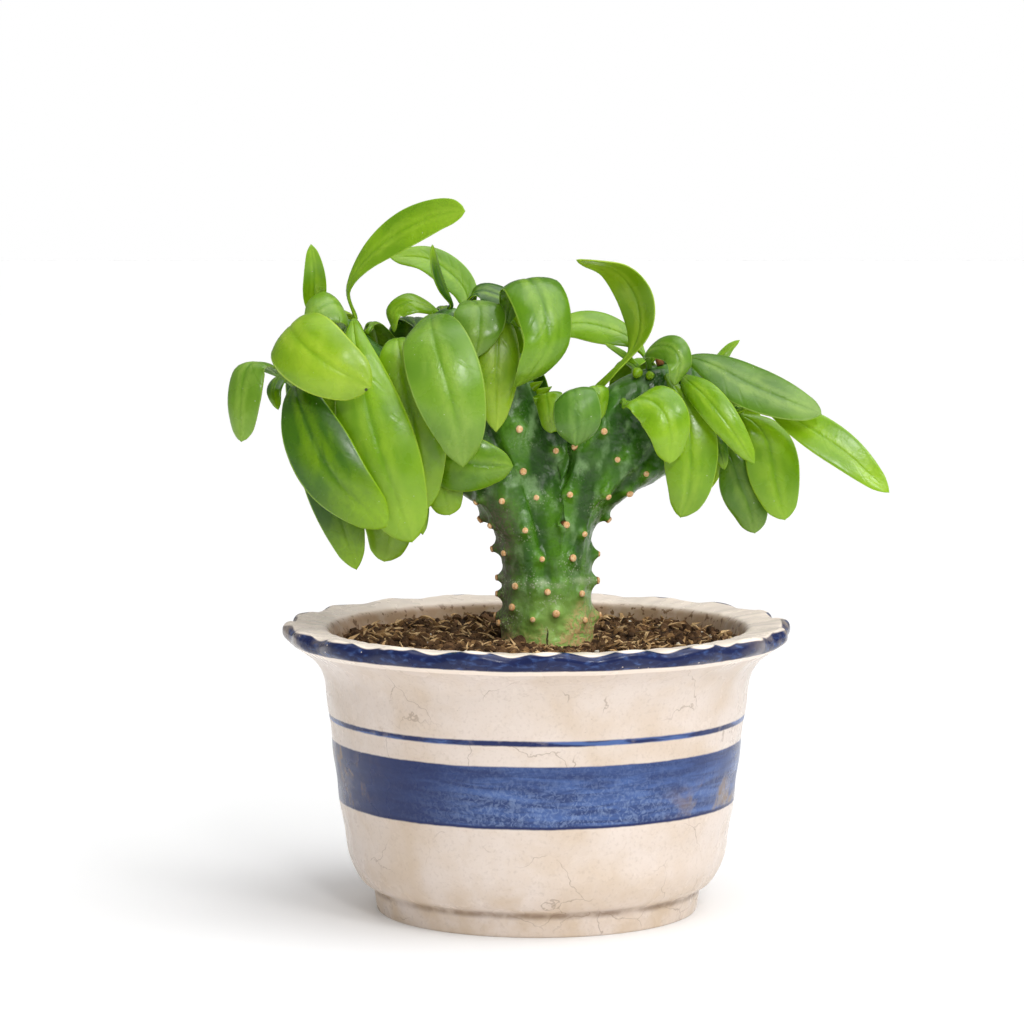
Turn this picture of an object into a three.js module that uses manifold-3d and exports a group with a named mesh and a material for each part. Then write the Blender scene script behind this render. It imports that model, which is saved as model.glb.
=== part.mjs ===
// Potted crested euphorbia: a fan-shaped crested stem with long fleshy leaves, standing in the soil of a
// ruffled stoneware pot with blue bands. Millimetres, +Z up, front towards -Y, origin under the pot's axis.
import * as THREE from 'three';
import Module from 'manifold-3d';
import { mergeVertices } from 'three/addons/utils/BufferGeometryUtils.js';

const wasm = await Module();
wasm.setup();

// Pot
const POT_HEIGHT = 120;
const FOOT_RADIUS = 67;
const RIM_RADIUS = 104.6;
const POT_SIDES = 80;
const RUFFLES = 20;
const RUFFLE_TURN = THREE.MathUtils.degToRad(3);
const RUFFLE_START = 95;
const RUFFLE_OUT = 1.3;
const RUFFLE_UP = 1.0;
const DRAIN_HOLES = 3;
const DRAIN_RADIUS = 5;
const DRAIN_CIRCLE = 34;

// Soil
const FIT_GAP = 0.3;
const SOIL_TOP = 111;
const SOIL_SIDES = 36;
const SOIL_RINGS = [77, 68, 59, 50, 41, 32, 25];
const SOIL_FLAT_EDGE = 80;
const SOIL_CENTRED_FROM = 60;
const SOIL_CHIPS = 44;
const CHIP_SIDES = 4;
const CHIP_CLEAR_OF_STEM = 28;
const CHIP_REACH = 76;

// Stem and crest
const STEM_X = 4.2;
const STEM_BOTTOM = 68;
const STEM_LEVELS = [STEM_BOTTOM, 105, 142];
const STEM_RADII = [19.4, 19.6, 18];
const FAN_HALF_THICKNESS = [14.5, 12.5, 10.5];
const SCAR_LEVEL = 138.5;
const SCAR_STEP = 1.1;
const SCAR_SWELLS_FROM = 126;
const SCAR_ENDS_AT = 141;
const FOLD_HEIGHT = 1.5;
const FOLDS_BEGIN_AT = 118;
const FOLDS_FULL_AT = 140;
const STEM_RIDGES = 3;
const FAN_RIDGES = 7;
const RIDGES_SPLIT = [0.5, 0.75];
const CREST_LOOP = 60;
const CREST_ROWS = 23;
const EDGE_ROUND_FROM = 0.88;
const TUBERCLE_HEIGHT = 2.2;
const TUBERCLE_SPREAD = 3.6;
const STUB_RADIUS = 1.45;
const STUB_LENGTH = 4.2;
const STUB_PROUD = 1.9;
const STUB_SIDES = 4;

// Leaves
const LEAF_STATIONS = [0, 0.09, 0.21, 0.36, 0.52, 0.68, 0.83, 0.94, 1];
const LEAF_MID_THICKNESS = 1.2;
const LEAF_EDGE_THICKNESS = 0.8;
const STALK_HALF_WIDTH = 1.1;
const TIP_HALF_WIDTH = 0.5;
const SMALL_LEAF_WIDTH = 14;
const SHORT_STALK = 0.06;
const SLIM_SHOULDER = 1.1;
const POINTED_TIP = 0.5;
const LEAF_GAP = 0.3;
const ROOT_STEP = 3;
const WIDEST_PLACE = 0.6;

const vec = (p) => new THREE.Vector3(...p);
const mix = THREE.MathUtils.lerp;
const smooth = THREE.MathUtils.smoothstep;

// Seeded random numbers between 0 and 1
function seededRandom(seed) {
  let state = seed;
  return () => {
    state = (state * 1664525 + 1013904223) % 4294967296;
    return state / 4294967296;
  };
}

// Uniform Catmull-Rom curve through lists of numbers, for t from 0 to 1
function spline(points, t) {
  const last = points.length - 1;
  const place = Math.min(Math.max(t, 0), 1) * last;
  const i = Math.min(Math.floor(place), last - 1);
  const u = place - i;
  const at = (k) => {
    if (k < 0) return points[0].map((value, n) => 2 * value - points[1][n]);
    if (k > last) return points[last].map((value, n) => 2 * value - points[last - 1][n]);
    return points[k];
  };
  const [a, b, c, d] = [at(i - 1), at(i), at(i + 1), at(i + 2)];
  return b.map((value, n) => {
    const slopeIn = (c[n] - a[n]) / 2;
    const slopeOut = (d[n] - value) / 2;
    const rise = c[n] - value;
    return value + u * (slopeIn + u * (3 * rise - 2 * slopeIn - slopeOut + u * (slopeIn + slopeOut - 2 * rise)));
  });
}

// Shared corners, no normals and no flat triangles, as a closed solid needs
function weld(geometry) {
  geometry.deleteAttribute('normal');
  geometry.deleteAttribute('uv');
  const merged = mergeVertices(geometry, 1e-4);
  const corners = merged.index.array;
  const kept = [];
  for (let i = 0; i < corners.length; i += 3) {
    const [a, b, c] = corners.slice(i, i + 3);
    if (a !== b && b !== c && c !== a) kept.push(a, b, c);
  }
  merged.setIndex(kept);
  return merged;
}

function toManifold(geometry) {
  const welded = weld(geometry);
  return new wasm.Manifold(new wasm.Mesh({
    numProp: 3,
    vertProperties: Float32Array.from(welded.attributes.position.array),
    triVerts: Uint32Array.from(welded.index.array),
  }));
}

// The largest solid of a fused body, so that no loose scrap is kept
function toGeometry(manifold) {
  const solids = manifold.decompose().sort((a, b) => b.volume() - a.volume());
  const mesh = solids[0].getMesh();
  const geometry = new THREE.BufferGeometry();
  geometry.setAttribute('position', new THREE.BufferAttribute(mesh.vertProperties, 3));
  geometry.setIndex(new THREE.BufferAttribute(mesh.triVerts, 1));
  return geometry;
}

// A closed outline of [radius, height] pairs turned round the Z axis, with angle 0 at the front
function revolve(outline, sides) {
  const lathe = new THREE.LatheGeometry(outline.map(([r, z]) => new THREE.Vector2(r, z)), sides);
  return lathe.rotateX(Math.PI / 2);
}

function movePoints(geometry, move) {
  const position = geometry.attributes.position;
  const point = new THREE.Vector3();
  for (let i = 0; i < position.count; i += 1) {
    point.fromBufferAttribute(position, i);
    move(point);
    position.setXYZ(i, point.x, point.y, point.z);
  }
  return geometry;
}

// Pot: a turned stoneware wall whose flared lip is pinched into ruffles
const potOutside = [
  [0, 0], [FOOT_RADIUS, 0], [68.2, 8.6], [68.9, 10], [73.4, 12.6], [78.4, 21],
  [82.7, 46], [87.4, 86], [89.4, 99], [92.4, 105.4], [97.5, 109.2],
  [RIM_RADIUS, 114], [RIM_RADIUS, 118], [102.6, POT_HEIGHT],
];
const potInside = [[87, 118.4], [83.4, 108], [77.5, 38], [70, 16], [0, 12]];

function ruffle(point) {
  const radius = Math.hypot(point.x, point.y);
  const angle = Math.atan2(point.x, -point.y);
  const share = smooth(radius, RUFFLE_START, RIM_RADIUS);
  const wave = share * Math.cos(RUFFLES * (angle - RUFFLE_TURN));
  const scale = radius > 0 ? (radius + RUFFLE_OUT * wave) / radius : 1;
  point.x *= scale;
  point.y *= scale;
  point.z += RUFFLE_UP * wave;
}

function makePot() {
  let body = toManifold(movePoints(revolve([...potOutside, ...potInside], POT_SIDES), ruffle));
  for (let i = 0; i < DRAIN_HOLES; i += 1) {
    const turn = (i / DRAIN_HOLES) * 2 * Math.PI;
    const hole = new THREE.CylinderGeometry(DRAIN_RADIUS, DRAIN_RADIUS, 40, 12).rotateX(Math.PI / 2);
    hole.translate(DRAIN_CIRCLE * Math.cos(turn), DRAIN_CIRCLE * Math.sin(turn), 0);
    body = body.subtract(toManifold(hole));
  }
  return toGeometry(body);
}

// Soil: fills the pot to the lip's inner edge, with a blind hole that the stem stands in
function soilLump(x, y) {
  const broad = Math.sin(x * 0.11 + 1.3) * Math.cos(y * 0.13 - 0.4);
  const fine = Math.sin(x * 0.43 + y * 0.31) * Math.cos(y * 0.47 - x * 0.17);
  return 1.3 * broad + 0.9 * fine;
}

// Half outline of the soil's underside and wall, a small gap inside the pot
const soilWall = [[0, 12 + FIT_GAP], [69.5, 16.9], [77, 38], [83.3, SOIL_TOP]];

function soilBed() {
  const holeRadius = STEM_RADII[1] + FIT_GAP;
  const bed = revolve([
    ...soilWall,
    ...SOIL_RINGS.map((r) => [r, SOIL_TOP]),
    [holeRadius, SOIL_TOP],
    [holeRadius, STEM_BOTTOM - FIT_GAP],
    [0, STEM_BOTTOM - FIT_GAP],
  ], SOIL_SIDES);
  return movePoints(bed, (point) => {
    const radius = Math.hypot(point.x, point.y);
    const loose = point.z === SOIL_TOP && radius > holeRadius + 1 && radius < SOIL_FLAT_EDGE;
    if (loose) point.z += soilLump(point.x, point.y);
    const nearStem = 1 - smooth(radius, holeRadius, SOIL_CENTRED_FROM);
    if (point.z > STEM_BOTTOM - 1) point.x += STEM_X * nearStem;
  });
}

function soilChip(x, y, random) {
  const chip = new THREE.CylinderGeometry(0.5, 1.1, mix(4, 9, random()), CHIP_SIDES);
  chip.rotateX(random() * Math.PI).rotateY(random() * Math.PI).rotateZ(random() * Math.PI);
  return chip.scale(1, 1, 0.45).translate(x, y, SOIL_TOP + soilLump(x, y) + 0.4);
}

function makeSoil() {
  let body = toManifold(soilBed());
  const random = seededRandom(11);
  for (let i = 0; i < SOIL_CHIPS; i += 1) {
    const angle = random() * 2 * Math.PI;
    const reach = SOIL_FLAT_EDGE * Math.sqrt(mix(0.14, 1, random()));
    const [x, y] = [reach * Math.sin(angle), reach * Math.cos(angle)];
    const chip = soilChip(x, y, random);
    const clear = Math.hypot(x - STEM_X, y) > CHIP_CLEAR_OF_STEM && reach < CHIP_REACH;
    if (clear) body = body.add(toManifold(chip));
  }
  return toGeometry(body);
}

// Crest: ten growth lines climb the stem and spread into the fan, each given by its three fan points
const growthLines = [
  [[-25, 0, 169], [-58, 0, 184], [-98, 0, 212]],
  [[-22, 0, 174], [-52, 0, 199], [-84, 4, 247]],
  [[-19, -1, 178], [-40, -2, 207], [-61, 2, 234]],
  [[-14, -1, 182], [-28, -2, 215], [-35, -4, 251]],
  [[-7, -1, 180], [-10, -2, 202], [-7, 3, 226]],
  [[6, 1, 172], [12, 3, 184], [17, 6, 197]],
  [[13, 0, 175], [22, 0, 196], [28, -3, 217]],
  [[18, -1, 173], [33, -2, 198], [47, -3, 226]],
  [[22, 0, 169], [43, 1, 190], [68, 5, 225]],
  [[26, 0, 163], [51, 0, 180], [87, 1, 203]],
];
const crestLines = growthLines.map((fan, i) => {
  const across = (i / (growthLines.length - 1)) * 2 - 1;
  const stem = STEM_LEVELS.map((z, level) => [STEM_X + STEM_RADII[level] * across, 0, z]);
  return [...stem, ...fan];
});
const crestHalfThickness = [...STEM_RADII, ...FAN_HALF_THICKNESS].map((value) => [value]);

// Point of the crest's middle sheet, for across from -1 to 1 and up from 0 to 1
function crestMiddle(across, up) {
  return vec(spline(crestLines.map((line) => spline(line, up)), (across + 1) / 2));
}

function crestFacing(across, up) {
  const step = 0.01;
  const a = Math.min(Math.max(across, -1 + step), 1 - step);
  const u = Math.min(Math.max(up, step), 1 - step);
  const sideways = crestMiddle(a + step, u).sub(crestMiddle(a - step, u));
  const upwards = crestMiddle(a, u + step).sub(crestMiddle(a, u - step));
  return sideways.cross(upwards).normalize();
}

function crestHalfLength(up) {
  const row = crestLines.map((line) => vec(spline(line, up)));
  let length = 0;
  for (let i = 1; i < row.length; i += 1) length += row[i].distanceTo(row[i - 1]);
  return length / 2;
}

// Place round the outline of one row: a flat slab with round ends, starting at the left margin
function roundRow(turn, flatShare) {
  const end = 1 - flatShare;
  const quarter = (Math.PI * end) / 2;
  const flat = 2 * flatShare;
  let along = turn * (4 * quarter + 2 * flat);
  if (along < quarter) return [-flatShare - end * Math.cos(along / end), Math.sin(along / end)];
  along -= quarter;
  if (along < flat) return [-flatShare + along, 1];
  along -= flat;
  if (along < 2 * quarter) return [flatShare + end * Math.sin(along / end), Math.cos(along / end)];
  along -= 2 * quarter;
  if (along < flat) return [flatShare - along, -1];
  along -= flat;
  return [-flatShare - end * Math.sin(along / end), -Math.cos(along / end)];
}

// Rise of the broad folds that run up both sides: few on the stem, and split into more on the fan
function foldRise(across, up, z) {
  const ridges = (count) => -Math.cos(count * Math.PI * across);
  const split = smooth(up, ...RIDGES_SPLIT);
  const height = FOLD_HEIGHT * smooth(z, FOLDS_BEGIN_AT, FOLDS_FULL_AT);
  return height * mix(ridges(STEM_RIDGES), ridges(FAN_RIDGES), split);
}

// Point of the crest's skin, before the tubercles rise from it
function crestSkin(turn, up) {
  const [thickness] = spline(crestHalfThickness, up);
  const flatShare = Math.max(0, 1 - thickness / crestHalfLength(up));
  const [across, front] = roundRow(turn, flatShare);
  const edge = Math.max(0, (up - EDGE_ROUND_FROM) / (1 - EDGE_ROUND_FROM));
  const rounding = Math.sqrt(1 - edge * edge);
  const middle = crestMiddle(across, up);
  const swelling = smooth(middle.z, SCAR_SWELLS_FROM, SCAR_LEVEL);
  const scar = SCAR_STEP * swelling * (1 - smooth(middle.z, SCAR_LEVEL, SCAR_ENDS_AT));
  const facing = crestFacing(across, up);
  const fold = foldRise(across, up, middle.z);
  return middle.addScaledVector(facing, front * (thickness + scar + fold) * rounding);
}

function crestSkinNormal(turn, up) {
  const step = 0.004;
  const u = Math.min(Math.max(up, 2 * step), 1 - 2 * step);
  const round = crestSkin((turn + step) % 1, u).sub(crestSkin((turn + 1 - step) % 1, u));
  const upwards = crestSkin(turn, u + step).sub(crestSkin(turn, u - step));
  return round.cross(upwards).normalize();
}

// Even samples of the skin, on which stubs and leaf roots find their place
const skinSamples = [];
for (let row = 8; row <= 100; row += 1) {
  for (let column = 0; column < 160; column += 1) {
    const [turn, up] = [column / 160, row / 100];
    skinSamples.push({ turn, up, point: crestSkin(turn, up) });
  }
}

function nearestSkin(distance) {
  let best = skinSamples[0];
  let least = Infinity;
  for (const sample of skinSamples) {
    const away = distance(sample);
    if (away < least) [best, least] = [sample, away];
  }
  return { point: best.point, normal: crestSkinNormal(best.turn, best.up), away: least };
}

// Stubs of fallen leaves: the front ones at their [x, z] places, the back ones on a staggered lattice
const frontStubs = [
  [-8, 202], [-6, 184], [-23, 173], [-14, 172], [0, 173], [6, 192], [17, 193], [28, 201], [34, 189],
  [13, 175], [28, 175], [37, 175], [-17, 162], [-24, 162], [-5, 161], [11, 162], [18, 159], [30, 162],
  [-12, 150], [-19, 150], [1, 148], [13, 148], [25, 149], [-8, 137], [-17, 139], [4, 135], [17, 134],
  [25, 138], [-15, 131], [-9, 127], [8, 125], [-1, 123], [18, 122], [-13, 121], [44, 207], [45, 183],
];
const STUB_STEP_ACROSS = 19;
const STUB_STEP_UP = 15;
const STUB_LOWEST = 122;
const STUB_ROWS = 8;
const STUB_COLUMNS = 5;
const STUB_MISS = 1.5;

// Skin seen at x, z from one side: turns below a half are the front
function skinSeenAt(x, z, front) {
  const far = 50;
  return nearestSkin(({ turn, point }) => {
    return Math.hypot(point.x - x, point.z - z) + (turn < 0.5 === front ? 0 : far);
  });
}

function stubPlaces() {
  const places = frontStubs.map(([x, z]) => skinSeenAt(x, z, true));
  for (let row = 0; row < STUB_ROWS; row += 1) {
    for (let column = -STUB_COLUMNS; column <= STUB_COLUMNS; column += 1) {
      const x = STEM_X + (column + (row % 2) / 2) * STUB_STEP_ACROSS;
      const place = skinSeenAt(x, STUB_LOWEST + row * STUB_STEP_UP, false);
      if (place.away < STUB_MISS) places.push(place);
    }
  }
  return places;
}

function alignTo(geometry, direction, point) {
  const turn = new THREE.Quaternion().setFromUnitVectors(new THREE.Vector3(0, 1, 0), direction);
  return geometry.applyQuaternion(turn).translate(point.x, point.y, point.z);
}

function crestBody(stubs) {
  const rows = [];
  for (let row = 0; row <= CREST_ROWS; row += 1) {
    const up = row / CREST_ROWS;
    for (let i = 0; i < CREST_LOOP; i += 1) {
      const turn = i / CREST_LOOP;
      const point = crestSkin(turn, up);
      const swell = stubs.reduce((sum, stub) => {
        const away = point.distanceTo(stub.point) / TUBERCLE_SPREAD;
        return sum + Math.exp(-away * away / 2);
      }, 0);
      if (row < CREST_ROWS && point.z > SOIL_TOP + 4) {
        point.addScaledVector(crestSkinNormal(turn, up), TUBERCLE_HEIGHT * Math.min(swell, 1));
      }
      rows.push(point);
    }
  }
  const corners = [];
  for (let row = 0; row < CREST_ROWS; row += 1) {
    for (let i = 0; i < CREST_LOOP; i += 1) {
      const a = row * CREST_LOOP + i;
      const b = row * CREST_LOOP + ((i + 1) % CREST_LOOP);
      corners.push(a, b, b + CREST_LOOP, a, b + CREST_LOOP, a + CREST_LOOP);
    }
  }
  const foot = rows.length;
  rows.push(new THREE.Vector3(STEM_X, 0, STEM_BOTTOM));
  for (let i = 0; i < CREST_LOOP; i += 1) corners.push(foot, (i + 1) % CREST_LOOP, i);
  const geometry = new THREE.BufferGeometry().setFromPoints(rows);
  geometry.setIndex(corners);
  return geometry;
}

// Round fruit and thorn-like buds at the growing edge: [x, y, z, radius]
const fruits = [[40, -11, 226, 2.3], [46, -12, 224.5, 1.8]];
const buds = [
  [4, -9, 222, 2.2], [7, -6, 219, 2.6], [-1, -5, 227, 2.0], [86, -2, 208, 2.6], [-98, -3, 216, 2.6],
];
const BUD_RISE = 1.2;

function standOnSkin(knob, [x, y, z], rise) {
  const target = new THREE.Vector3(x, y, z);
  const { point, normal } = nearestSkin((sample) => sample.point.distanceTo(target));
  return toManifold(alignTo(knob, normal, point.clone().addScaledVector(normal, rise)));
}

const stubs = stubPlaces();
const crestShape = crestBody(stubs);

function makeCrest() {
  let body = toManifold(crestShape);
  for (const { point, normal } of stubs) {
    const centre = point.clone().addScaledVector(normal, TUBERCLE_HEIGHT + STUB_PROUD - STUB_LENGTH / 2);
    const stub = new THREE.CylinderGeometry(STUB_RADIUS * 0.85, STUB_RADIUS, STUB_LENGTH, STUB_SIDES);
    body = body.add(toManifold(alignTo(stub, normal, centre)));
  }
  for (const [x, y, z, radius] of fruits) {
    body = body.add(standOnSkin(new THREE.IcosahedronGeometry(radius, 1), [x, y, z], radius * 0.8));
  }
  for (const [x, y, z, radius] of buds) {
    body = body.add(standOnSkin(new THREE.ConeGeometry(radius, radius * 3, 6), [x, y, z], BUD_RISE));
  }
  return toGeometry(body);
}

// A leaf is a fleshy blade along a curved midrib. Its root sits on the crest's skin. face is where the middle
// of the upper side looks, cup lifts the edges towards it, and skew above 1 moves the widest place tipwards.
// A lower shoulder or tip power makes that end of the outline rounder, and stem is the stalk's half width.
const frontLeaves = [
  { name: 'leaf_left_tall', width: 17.5, face: [-0.2, -0.85, 0.5], cup: 0.06, skew: 1.5, tip: 0.36,
    path: [[-76, 3, 246], [-78, 1, 258], [-70, -4, 271], [-56, -10, 282], [-41, -17, 289],
      [-29.5, -24, 291]] },
  { name: 'leaf_left_back_arch', width: 14, face: [0.1, -0.9, 0.5], cup: 0.1, skew: 1, shoulder: 0.8,
    path: [[-28, 5, 249], [-30, 9, 257], [-37, 12, 265], [-47, 14, 270.5], [-61, 14, 271]] },
  { name: 'leaf_left_sliver', width: 9, face: [-0.95, 0.1, 0.3], cup: 0.3, skew: 1,
    path: [[-36, -5, 251], [-38, -8, 259], [-41, -12, 268], [-43, -15, 277]] },
  { name: 'leaf_left_upright', width: 10, face: [0.2, -1, 0.1], cup: 0.35, skew: 1,
    path: [[-93, 2, 243], [-92, -1, 253], [-92, -6, 266], [-93, -7, 277]] },
  { name: 'leaf_left_rolled', width: 19, face: [-0.35, -0.8, 0.5], cup: -0.25, skew: 1, shoulder: 0.7,
    path: [[-79, -5, 242], [-79.5, -10, 249], [-83, -14, 253], [-89, -17, 251], [-94, -19, 245]] },
  { name: 'leaf_left_broad', width: 30, face: [-0.1, -1, 0.2], cup: -0.2,
    skew: 0.95, stalk: 0.3, shoulder: 0.7, tip: 0.36,
    path: [[-90, -7, 238], [-97, -24, 244], [-100, -36, 244], [-95, -45, 238.5], [-84, -50, 230],
      [-67, -50, 221]] },
  { name: 'leaf_far_left_hanging', width: 17, face: [-0.5, -0.85, 0.1], cup: -0.25, skew: 1.3, tip: 0.36,
    path: [[-102, -6, 221], [-110, -12, 227], [-118, -18, 227.5], [-121, -22, 214], [-121, -23, 197]] },
  { name: 'leaf_far_left_curl', width: 8, face: [-0.4, -0.8, 0.3], cup: -0.2, skew: 1,
    path: [[-98, 8, 222], [-106, 4, 222], [-109, -3, 217], [-107, -6, 209]] },
  { name: 'leaf_left_long', width: 31, face: [0, -1, 0.05], cup: -0.1, skew: 1.3, tip: 0.42,
    path: [[-74, -8, 243], [-75, -20, 246], [-73.4, -32, 235], [-67.6, -37, 207], [-60, -39, 183],
      [-51, -36, 157]] },
  { name: 'leaf_left_under_long', width: 24, face: [-0.1, -1, 0], cup: -0.08, skew: 1,
    path: [[-90, -8, 234], [-85, -14, 230], [-82.6, -22.8, 211], [-81, -28, 192], [-77, -29, 176]] },
  { name: 'leaf_left_low_front', width: 27, face: [-0.15, -1, 0.05], cup: -0.12,
    skew: 1.45, shoulder: 1.3, tip: 0.42,
    path: [[-100, -4, 212], [-99, -24, 219.5], [-96.4, -36, 213.6], [-90.4, -42, 199], [-80, -45, 182],
      [-61, -44, 164]] },
  { name: 'leaf_left_low_hanging', width: 22, face: [-0.1, -1, 0], cup: -0.1, skew: 1.05,
    path: [[-97, -8, 210], [-92, -20, 200], [-85, -26, 181], [-79, -28, 162], [-74, -28, 145]] },
  { name: 'leaf_left_low_tip', width: 22, face: [0, -1, 0], cup: -0.1, skew: 1.2, tip: 0.36,
    path: [[-72, -12, 190], [-66, -16, 183], [-61, -17, 163], [-63, -17, 147]] },
  { name: 'leaf_middle_left_behind', width: 28, face: [0, -1, 0], cup: -0.08, skew: 1,
    path: [[-55, -6, 236], [-57, -18, 238], [-55, -26, 227], [-50, -30, 202], [-46, -29, 169]] },
  { name: 'leaf_middle_left_front', width: 30, face: [0, -1, 0.05], cup: -0.12,
    skew: 1.1, shoulder: 0.75, tip: 0.46,
    path: [[-43, -6, 246], [-43.4, -23, 247], [-42, -38, 240], [-36.2, -45, 221], [-31.6, -45, 203],
      [-30.2, -41, 188]] },
  { name: 'leaf_heart', width: 21.5, face: [0.05, -1, 0.1], cup: -0.08, skew: 0.85, shoulder: 0.7, tip: 0.6,
    path: [[-28, -5, 250], [-27, -12, 253.6], [-23.8, -21, 251.5], [-23.8, -26.5, 242], [-25.6, -27, 231]] },
  { name: 'leaf_middle_narrow', width: 19, face: [0.1, -1, 0], cup: -0.12, skew: 1, shoulder: 0.8,
    path: [[-15, -8, 240], [-16, -16, 245], [-16.4, -22, 236], [-17, -24.5, 218], [-17, -23, 201]] },
  { name: 'leaf_right_pointing', width: 25, face: [0, -1, 0], cup: -0.1, skew: 0.9,
    path: [[-48, -14, 195], [-41, -22, 191], [-26, -26, 188], [-10, -24, 187]] },
  { name: 'leaf_small_round', width: 16, face: [0, -1, 0], cup: -0.1, skew: 1.2, tip: 0.3,
    path: [[-41, -14, 190], [-40, -19, 184], [-38, -20, 175], [-36, -19, 166.5]] },
  { name: 'leaf_dark_sliver', width: 10, face: [0.5, -1, 0], cup: -0.1, skew: 1,
    path: [[-54, -14, 186], [-51, -22, 177], [-48, -24, 169], [-47, -24, 159]] },
  { name: 'leaf_left_strap', width: 11, face: [0, -0.8, 0.6], cup: -0.1, skew: 1,
    path: [[-40, 2, 247], [-45, 0, 251], [-52, -3, 253], [-59, -4, 249], [-59, -5, 241]] },
  { name: 'leaf_middle_arch', width: 12, face: [0.2, -0.8, 0.6], cup: -0.1, skew: 1,
    path: [[-30, 4, 252], [-25, 3, 257], [-16, 2, 255.5], [-8, 0, 249], [-5, -2, 241]] },
  { name: 'leaf_middle_drooping', width: 24, face: [0.3, -1, 0.1], cup: -0.2, skew: 1,
    path: [[-13, -4, 240], [-9.4, -11, 257.5], [-3.6, -24, 263], [2, -33, 254], [4, -37, 239], [-2, -36, 227],
      [-9, -32, 220]] },
  { name: 'leaf_right_back_strap', width: 15.5, face: [0, -0.8, 0.6], cup: -0.1, skew: 1.2,
    path: [[43, 2, 230], [40, 4, 236.6], [31, 6, 241], [18, 8, 243.6], [4, 8, 241]] },
  { name: 'leaf_right_tall', width: 18, face: [-0.5, -0.75, -0.2], cup: 0.12,
    skew: 1.05, stalk: 0.26, shoulder: 0.8, stem: 1.8,
    path: [[26, -6, 215], [31, -9, 224], [39, -9, 233], [42.4, -8, 244], [40, -9, 257], [31.4, -13, 267],
      [16, -18, 271]] },
  { name: 'leaf_right_thin', width: 3, face: [0, -1, 0], cup: 0, skew: 1,
    path: [[41, -4, 227], [35, -3, 232], [28, -2, 236]] },
  { name: 'leaf_right_recurved', width: 12, face: [0.1, -1, 0.1], cup: -0.2, skew: 1.2, tip: 0.42,
    path: [[46, -4, 227], [45, -10, 232], [49, -16, 235.4], [55, -22, 235], [58, -24, 229],
      [55.6, -24, 220]] },
  { name: 'leaf_right_light', width: 20, face: [0.1, -1, 0.1], cup: -0.18, skew: 1.15, tip: 0.42,
    path: [[35, -10, 211], [37, -24, 212.5], [42, -30, 215], [49.5, -34, 211.6], [53.6, -36, 202],
      [53.6, -34, 189]] },
  { name: 'leaf_right_hanging_front', width: 22.5, face: [0, -1, 0], cup: -0.1, skew: 1.2, tip: 0.42,
    path: [[53, -6, 221], [54, -13, 221.6], [59, -20, 214], [62.4, -25, 198], [62, -26, 179],
      [58.6, -24, 166]] },
  { name: 'leaf_right_slanted', width: 13, face: [-0.1, -1, 0.15], cup: -0.12, skew: 1.1,
    path: [[59, -6, 224], [61.6, -19, 221.4], [68, -28.6, 216], [77, -33, 205], [88, -34, 189]] },
  { name: 'leaf_right_big', width: 22.5, face: [0.15, -0.8, 0.6], cup: -0.08, skew: 1.1, tip: 0.42,
    path: [[58, -4, 226], [63, -10, 230], [74, -16, 226.6], [85.6, -23, 220.6], [100, -30, 214.6],
      [115, -35, 209]] },
  { name: 'leaf_far_right', width: 16, face: [0.1, -1, 0.3], cup: 0.1, skew: 1.2,
    path: [[83, -9, 213], [94, -18, 212], [107, -24, 205], [125, -29, 193], [143, -32, 177]] },
  { name: 'leaf_right_hanging_outer', width: 22, face: [0.1, -1, 0], cup: -0.1, skew: 1.15, tip: 0.42,
    path: [[82, -8, 206], [89, -11, 204], [95, -13, 196], [98, -14, 181], [102, -14, 164]] },
  { name: 'leaf_right_hanging_dark', width: 18, face: [0, -1, 0], cup: -0.08, skew: 1.15, tip: 0.42,
    path: [[76, -4, 196], [80, -8, 189], [84, -9, 178], [88, -9, 168], [90, -9, 158]] },
  { name: 'leaf_right_short_dark', width: 8, face: [0.1, -1, 0], cup: -0.1, skew: 1,
    path: [[71, -10, 202], [73, -14, 198], [75, -15, 192], [77, -15, 185]] },
  { name: 'leaf_right_spur', width: 6, face: [0, -0.9, 0.4], cup: 0.2, skew: 1,
    path: [[84, 4, 209], [93, 2, 209], [101, 0, 207], [108, -3, 200]] },
  { name: 'leaf_right_sprout', width: 5, face: [0, -1, 0], cup: 0.3, skew: 0.8,
    path: [[71, 3, 223], [76, 4, 229], [80, 5, 234], [84, 5, 237]] },
  { name: 'leaf_cup_front', width: 19.5, face: [0, -1, 0.1], cup: -0.25, skew: 1.2, shoulder: 0.8, tip: 0.3,
    path: [[15, -8, 198], [14.8, -21, 211], [14.8, -33, 218.6], [15.4, -39, 216], [16.2, -41, 206],
      [15.4, -38, 196.4]] },
  { name: 'leaf_cup_left', width: 12, face: [-0.3, -1, 0], cup: -0.3, skew: 1.2, tip: 0.3,
    path: [[6, -6, 201], [5, -11, 210], [4, -13.5, 216], [4.6, -16, 211], [5.6, -16, 200]] },
  { name: 'leaf_cup_right', width: 11, face: [0.3, -1, 0], cup: -0.3, skew: 1.1, tip: 0.3,
    path: [[22, -8, 209], [23.4, -13, 213], [23.8, -16, 219], [24.8, -18, 215], [25, -17, 205.4]] },
];

// Leaves behind the crest arch backwards and hang: [root x, root z, sideways lean, reach back, drop, width]
const backLeafRows = [
  [-94, 225, -3, 26, 30, 20], [-82, 246, -6, 40, 52, 26], [-70, 241, 9, 31, 60, 20],
  [-51, 243, -3, 46, 58, 24], [-40, 248, 7, 29, 64, 20], [-20, 243, 6, 43, 50, 24],
  [-8, 228, 6, 24, 48, 20], [26, 214, -2, 28, 34, 18], [40, 226, 4, 36, 46, 23],
  [54, 228, 6, 24, 56, 20], [68, 225, 4, 38, 54, 24], [77, 216, 14, 30, 46, 19],
];

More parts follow.
